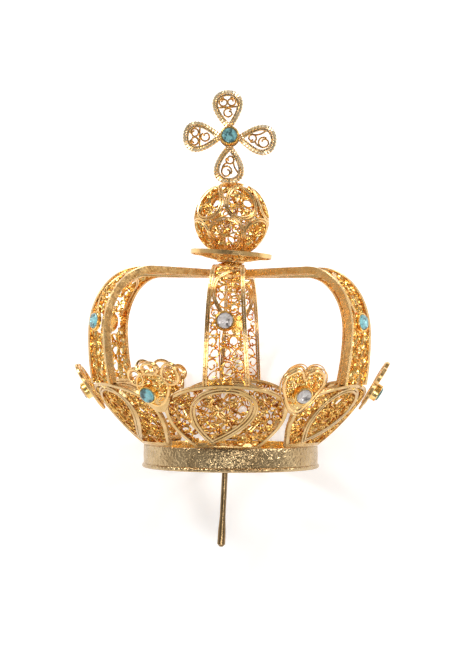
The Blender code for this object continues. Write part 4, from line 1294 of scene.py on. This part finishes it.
def add_globe(shift):
    """Adds the hollow globe: two rows of leaves, curls between them and a cap at each pole."""
    draw = random.Random(71)
    rows = [(globe_leaf(draw, 2.75, -3.9, 3.4, point_up=True), UPPER_START, LEAF_LATITUDE),
            (globe_leaf(draw, 3.0, -4.5, 2.8, point_up=False), LOWER_START, -LEAF_LATITUDE)]
    parts = []
    for i in range(COPIES):
        turn = 2.0 * math.pi * i / COPIES
        for pattern, start, latitude in rows:
            leaf = copied(pattern, "leaf")
            parts.append(mapped(leaf, onto_globe(math.radians(start) + turn, math.radians(latitude))))
    removed([pattern for pattern, _, _ in rows])
    for i in range(COPIES):
        turn = 2.0 * math.pi * (i + 0.5) / COPIES
        for start, latitude, radius in GLOBE_CURLS:
            route = scroll(0.0, 0.0, radius, 1.7, draw.uniform(0, RANDOM_TURN), draw.choice((-1, 1)), WIRE)
            curl = laid("globe_curl", [route], WIRE_SECTION, WIRE_GILT)
            parts.append(mapped(curl, onto_globe(math.radians(start) + turn, math.radians(latitude))))
    parts += [globe_cap(1.0), globe_cap(-1.0)]
    ball = smoothed(joined("openwork_globe", parts))
    laid_down(moved(ball, sideways(shift, GLOBE_HEIGHT)), "gilt_filigree", "globe")


def cross_arm(curls, bars):
    """Makes one arm of the cross, pointing along +Y: a grained frame and lining round curls and bars."""
    loop = teardrop(2.72, 1.6, CROSS_ARM + FRAME_PAST, taper=0.6, steps=72)
    lining = teardrop(2.12, 2.5, CROSS_ARM - LINING_SHORT, taper=0.6, steps=60)
    routes = [scroll(*curl, CROSS_WIRE) for curl in curls] + bars
    return joined("cross_arm", [
        laid("cross_frame", [loop], CROSS_SECTION, PALE_STRIP_GILT, closed=True, grains=CROSS_GRAINS),
        laid("cross_lining", [lining], LINING_SECTION, PALE_STRIP_GILT, closed=True, grains=GRAINS),
        laid("cross_curls", routes, CROSS_WIRE_SECTION, STRIP_GILT)])


def barred_arm():
    """Makes the arm with three curls either side of a straight bar, used above and to the left."""
    curls = [(-0.86, 7.1, 0.92, 1.3, 1.2, 1), (0.86, 7.1, 0.92, 1.3, 1.9, -1),
             (0.0, 4.95, 0.98, 1.1, 0.5, 1)]
    return cross_arm(curls, [[(-1.9, 6.05), (1.9, 6.05)]])


def branched_arm():
    """Makes the arm with two curls between bent branches, used below and to the right."""
    curls = [(0.45, 6.9, 1.15, 1.3, 2.6, 1), (-0.15, 4.6, 0.9, 1.2, 5.7, 1)]
    return cross_arm(curls, [rounded([(-1.9, 7.2), (-1.2, 6.2), (-0.9, 5.2), (-0.95, 4.5)]),
                             rounded([(1.5, 6.9), (1.1, 5.7), (0.5, 5.2)])])


def add_cross(shift):
    """Adds the cross: four arms round a hub, and the tongue that stands in the globe."""
    patterns = [barred_arm(), branched_arm()]
    parts = []
    for i, lean in enumerate(CROSS_LEANS):
        turn = Matrix.Rotation(0.5 * math.pi * i + math.radians(lean), 4, "Z")
        parts.append(moved(copied(patterns[i // 2], "arm"), turn))
    removed(patterns)
    hub = added(bpy.ops.mesh.primitive_cylinder_add, vertices=40, radius=HUB_RADIUS, depth=HUB_DEPTH,
                end_fill_type="NGON")
    tongue = added(bpy.ops.mesh.primitive_cylinder_add, vertices=16, radius=TONGUE_RADIUS,
                   depth=TONGUE_LENGTH, end_fill_type="NGON", rotation=(0.5 * math.pi, 0.0, 0.0),
                   location=(0.0, -CROSS_ARM - TONGUE_DROP, 0.0))
    parts += [dressed(hub, STRIP_GILT), dressed(tongue, STRIP_GILT)]
    cross = smoothed(joined("filigree_cross", parts))
    laid_down(moved(cross, sideways(shift, CROSS_HEIGHT) @ upright()), "gilt_filigree", "cross")


# Studio: places in millimetres in the crown's frame, light sizes in metres

FLOOR_SIZE = 6.0
FLOOR_DROP = 0.0002
LIGHTS = (("key_light", (-380.0, -260.0, 420.0), 0.18, 0.18, 1.5),
          ("fill_light", (420.0, -220.0, 260.0), 0.16, 0.16, 0.9),
          ("camera_light", (50.0, -590.0, -88.0), 0.50, 0.07, 0.74),
          ("top_light", (60.0, -60.0, 560.0), 0.20, 0.20, 0.7))
LIGHT_AIM = (0.0, 0.0, 30.0)
CAMERA_AZIMUTH = math.radians(2.35)
CAMERA_ROLL = math.radians(0.37)
CAMERA_DISTANCE = 390.0
CAMERA_HEIGHT = 25.0
CAMERA_TARGET = (-0.5, 0.0, 28.2)
CAMERA_LENS = 71.1


def add_floor():
    """Adds the plain pale floor that the crown lies on, of opal acrylic lit from behind."""
    floor = added(bpy.ops.mesh.primitive_plane_add, size=FLOOR_SIZE, location=(0.0, 0.0, -FLOOR_DROP))
    floor.name = "pale_floor"
    dressed(floor, surface("backlit_opal_acrylic", Base_Color="#F4F4F4", Roughness=0.8,
                           Emission_Color="#FFFFFF", Emission_Strength=0.36))


def add_sky():
    """Adds the white room that the gilding mirrors: darker towards the crown's front, with dark gaps."""
    world = bpy.data.worlds.new("studio")
    bpy.context.scene.world = world
    world.use_nodes = True
    tree = world.node_tree
    place = add_node(tree, "ShaderNodeTexCoord")
    facing = add_node(tree, "ShaderNodeVectorMath", [(0, place.outputs["Generated"])],
                      operation="DOT_PRODUCT")
    facing.inputs[1].default_value = (CROWN.to_3x3() @ Vector((0.0, -1.0, 0.0))).normalized()
    sky = add_node(tree, "ShaderNodeValToRGB", [("Fac", facing.outputs["Value"])],
                   [(0.0, 0.66), (0.25, 0.54), (0.60, 0.46), (0.88, 0.30), (0.97, 0.10)])
    gaps = add_node(tree, "ShaderNodeTexNoise", [("Vector", place.outputs["Generated"])],
                    Scale=2.6, Detail=1.0)
    screens = add_node(tree, "ShaderNodeValToRGB", [("Fac", gaps.outputs["Fac"])],
                       [(0.40, 0.06), (0.46, 1.0)])
    room = add_node(tree, "ShaderNodeVectorMath",
                    [(0, sky.outputs["Color"]), (1, screens.outputs["Color"])], operation="MULTIPLY")
    tree.links.new(room.outputs["Vector"], tree.nodes["Background"].inputs["Color"])
    tree.nodes["Background"].inputs["Strength"].default_value = 1.0


def add_lights():
    """Adds soft lights round the crown."""
    for name, place, wide, high, watts in LIGHTS:
        data = bpy.data.lights.new(name, "AREA")
        data.shape = "RECTANGLE"
        data.size = wide
        data.size_y = high
        data.energy = watts
        light = bpy.data.objects.new(name, data)
        bpy.context.collection.objects.link(light)
        light.location = CROWN @ Vector(place)
        aim = CROWN @ Vector(LIGHT_AIM) - light.location
        light.rotation_euler = aim.to_track_quat("-Z", "Y").to_euler()


def add_camera():
    """Adds the camera where the photo was taken from, in the crown's frame."""
    eye = Vector((CAMERA_DISTANCE * math.sin(CAMERA_AZIMUTH), -CAMERA_DISTANCE * math.cos(CAMERA_AZIMUTH),
                  CAMERA_HEIGHT))
    back = (eye - Vector(CAMERA_TARGET)).normalized()
    right = Vector((-math.sin(CAMERA_ROLL), 0.0, math.cos(CAMERA_ROLL))).cross(back).normalized()
    turn = Matrix((right, back.cross(right), back)).transposed().to_4x4()
    location, rotation, _ = (CROWN @ Matrix.Translation(eye) @ turn).decompose()
    data = bpy.data.cameras.new("camera")
    data.sensor_fit = "VERTICAL"
    data.sensor_height = 24.0
    data.lens = CAMERA_LENS
    data.clip_start = 0.01
    camera = bpy.data.objects.new("camera", data)
    bpy.context.collection.objects.link(camera)
    camera.location = location
    camera.rotation_euler = rotation.to_euler()
    bpy.context.scene.camera = camera


finial_shift = on_crown("neck").x
add_camera()
add_floor()
add_sky()
add_lights()
add_band()
add_pin()
finish_crossbar()
add_petals()
add_arches()
add_florets()
add_jewels()
add_neck(finial_shift + NECK_SWAY)
add_saucer(finial_shift + SAUCER_SWAY)
add_globe(finial_shift + GLOBE_SWAY)
add_cross(finial_shift)
removed([thing for thing in bpy.data.objects if thing.type == "CURVE"])
bpy.context.scene.view_settings.view_transform = "Standard"
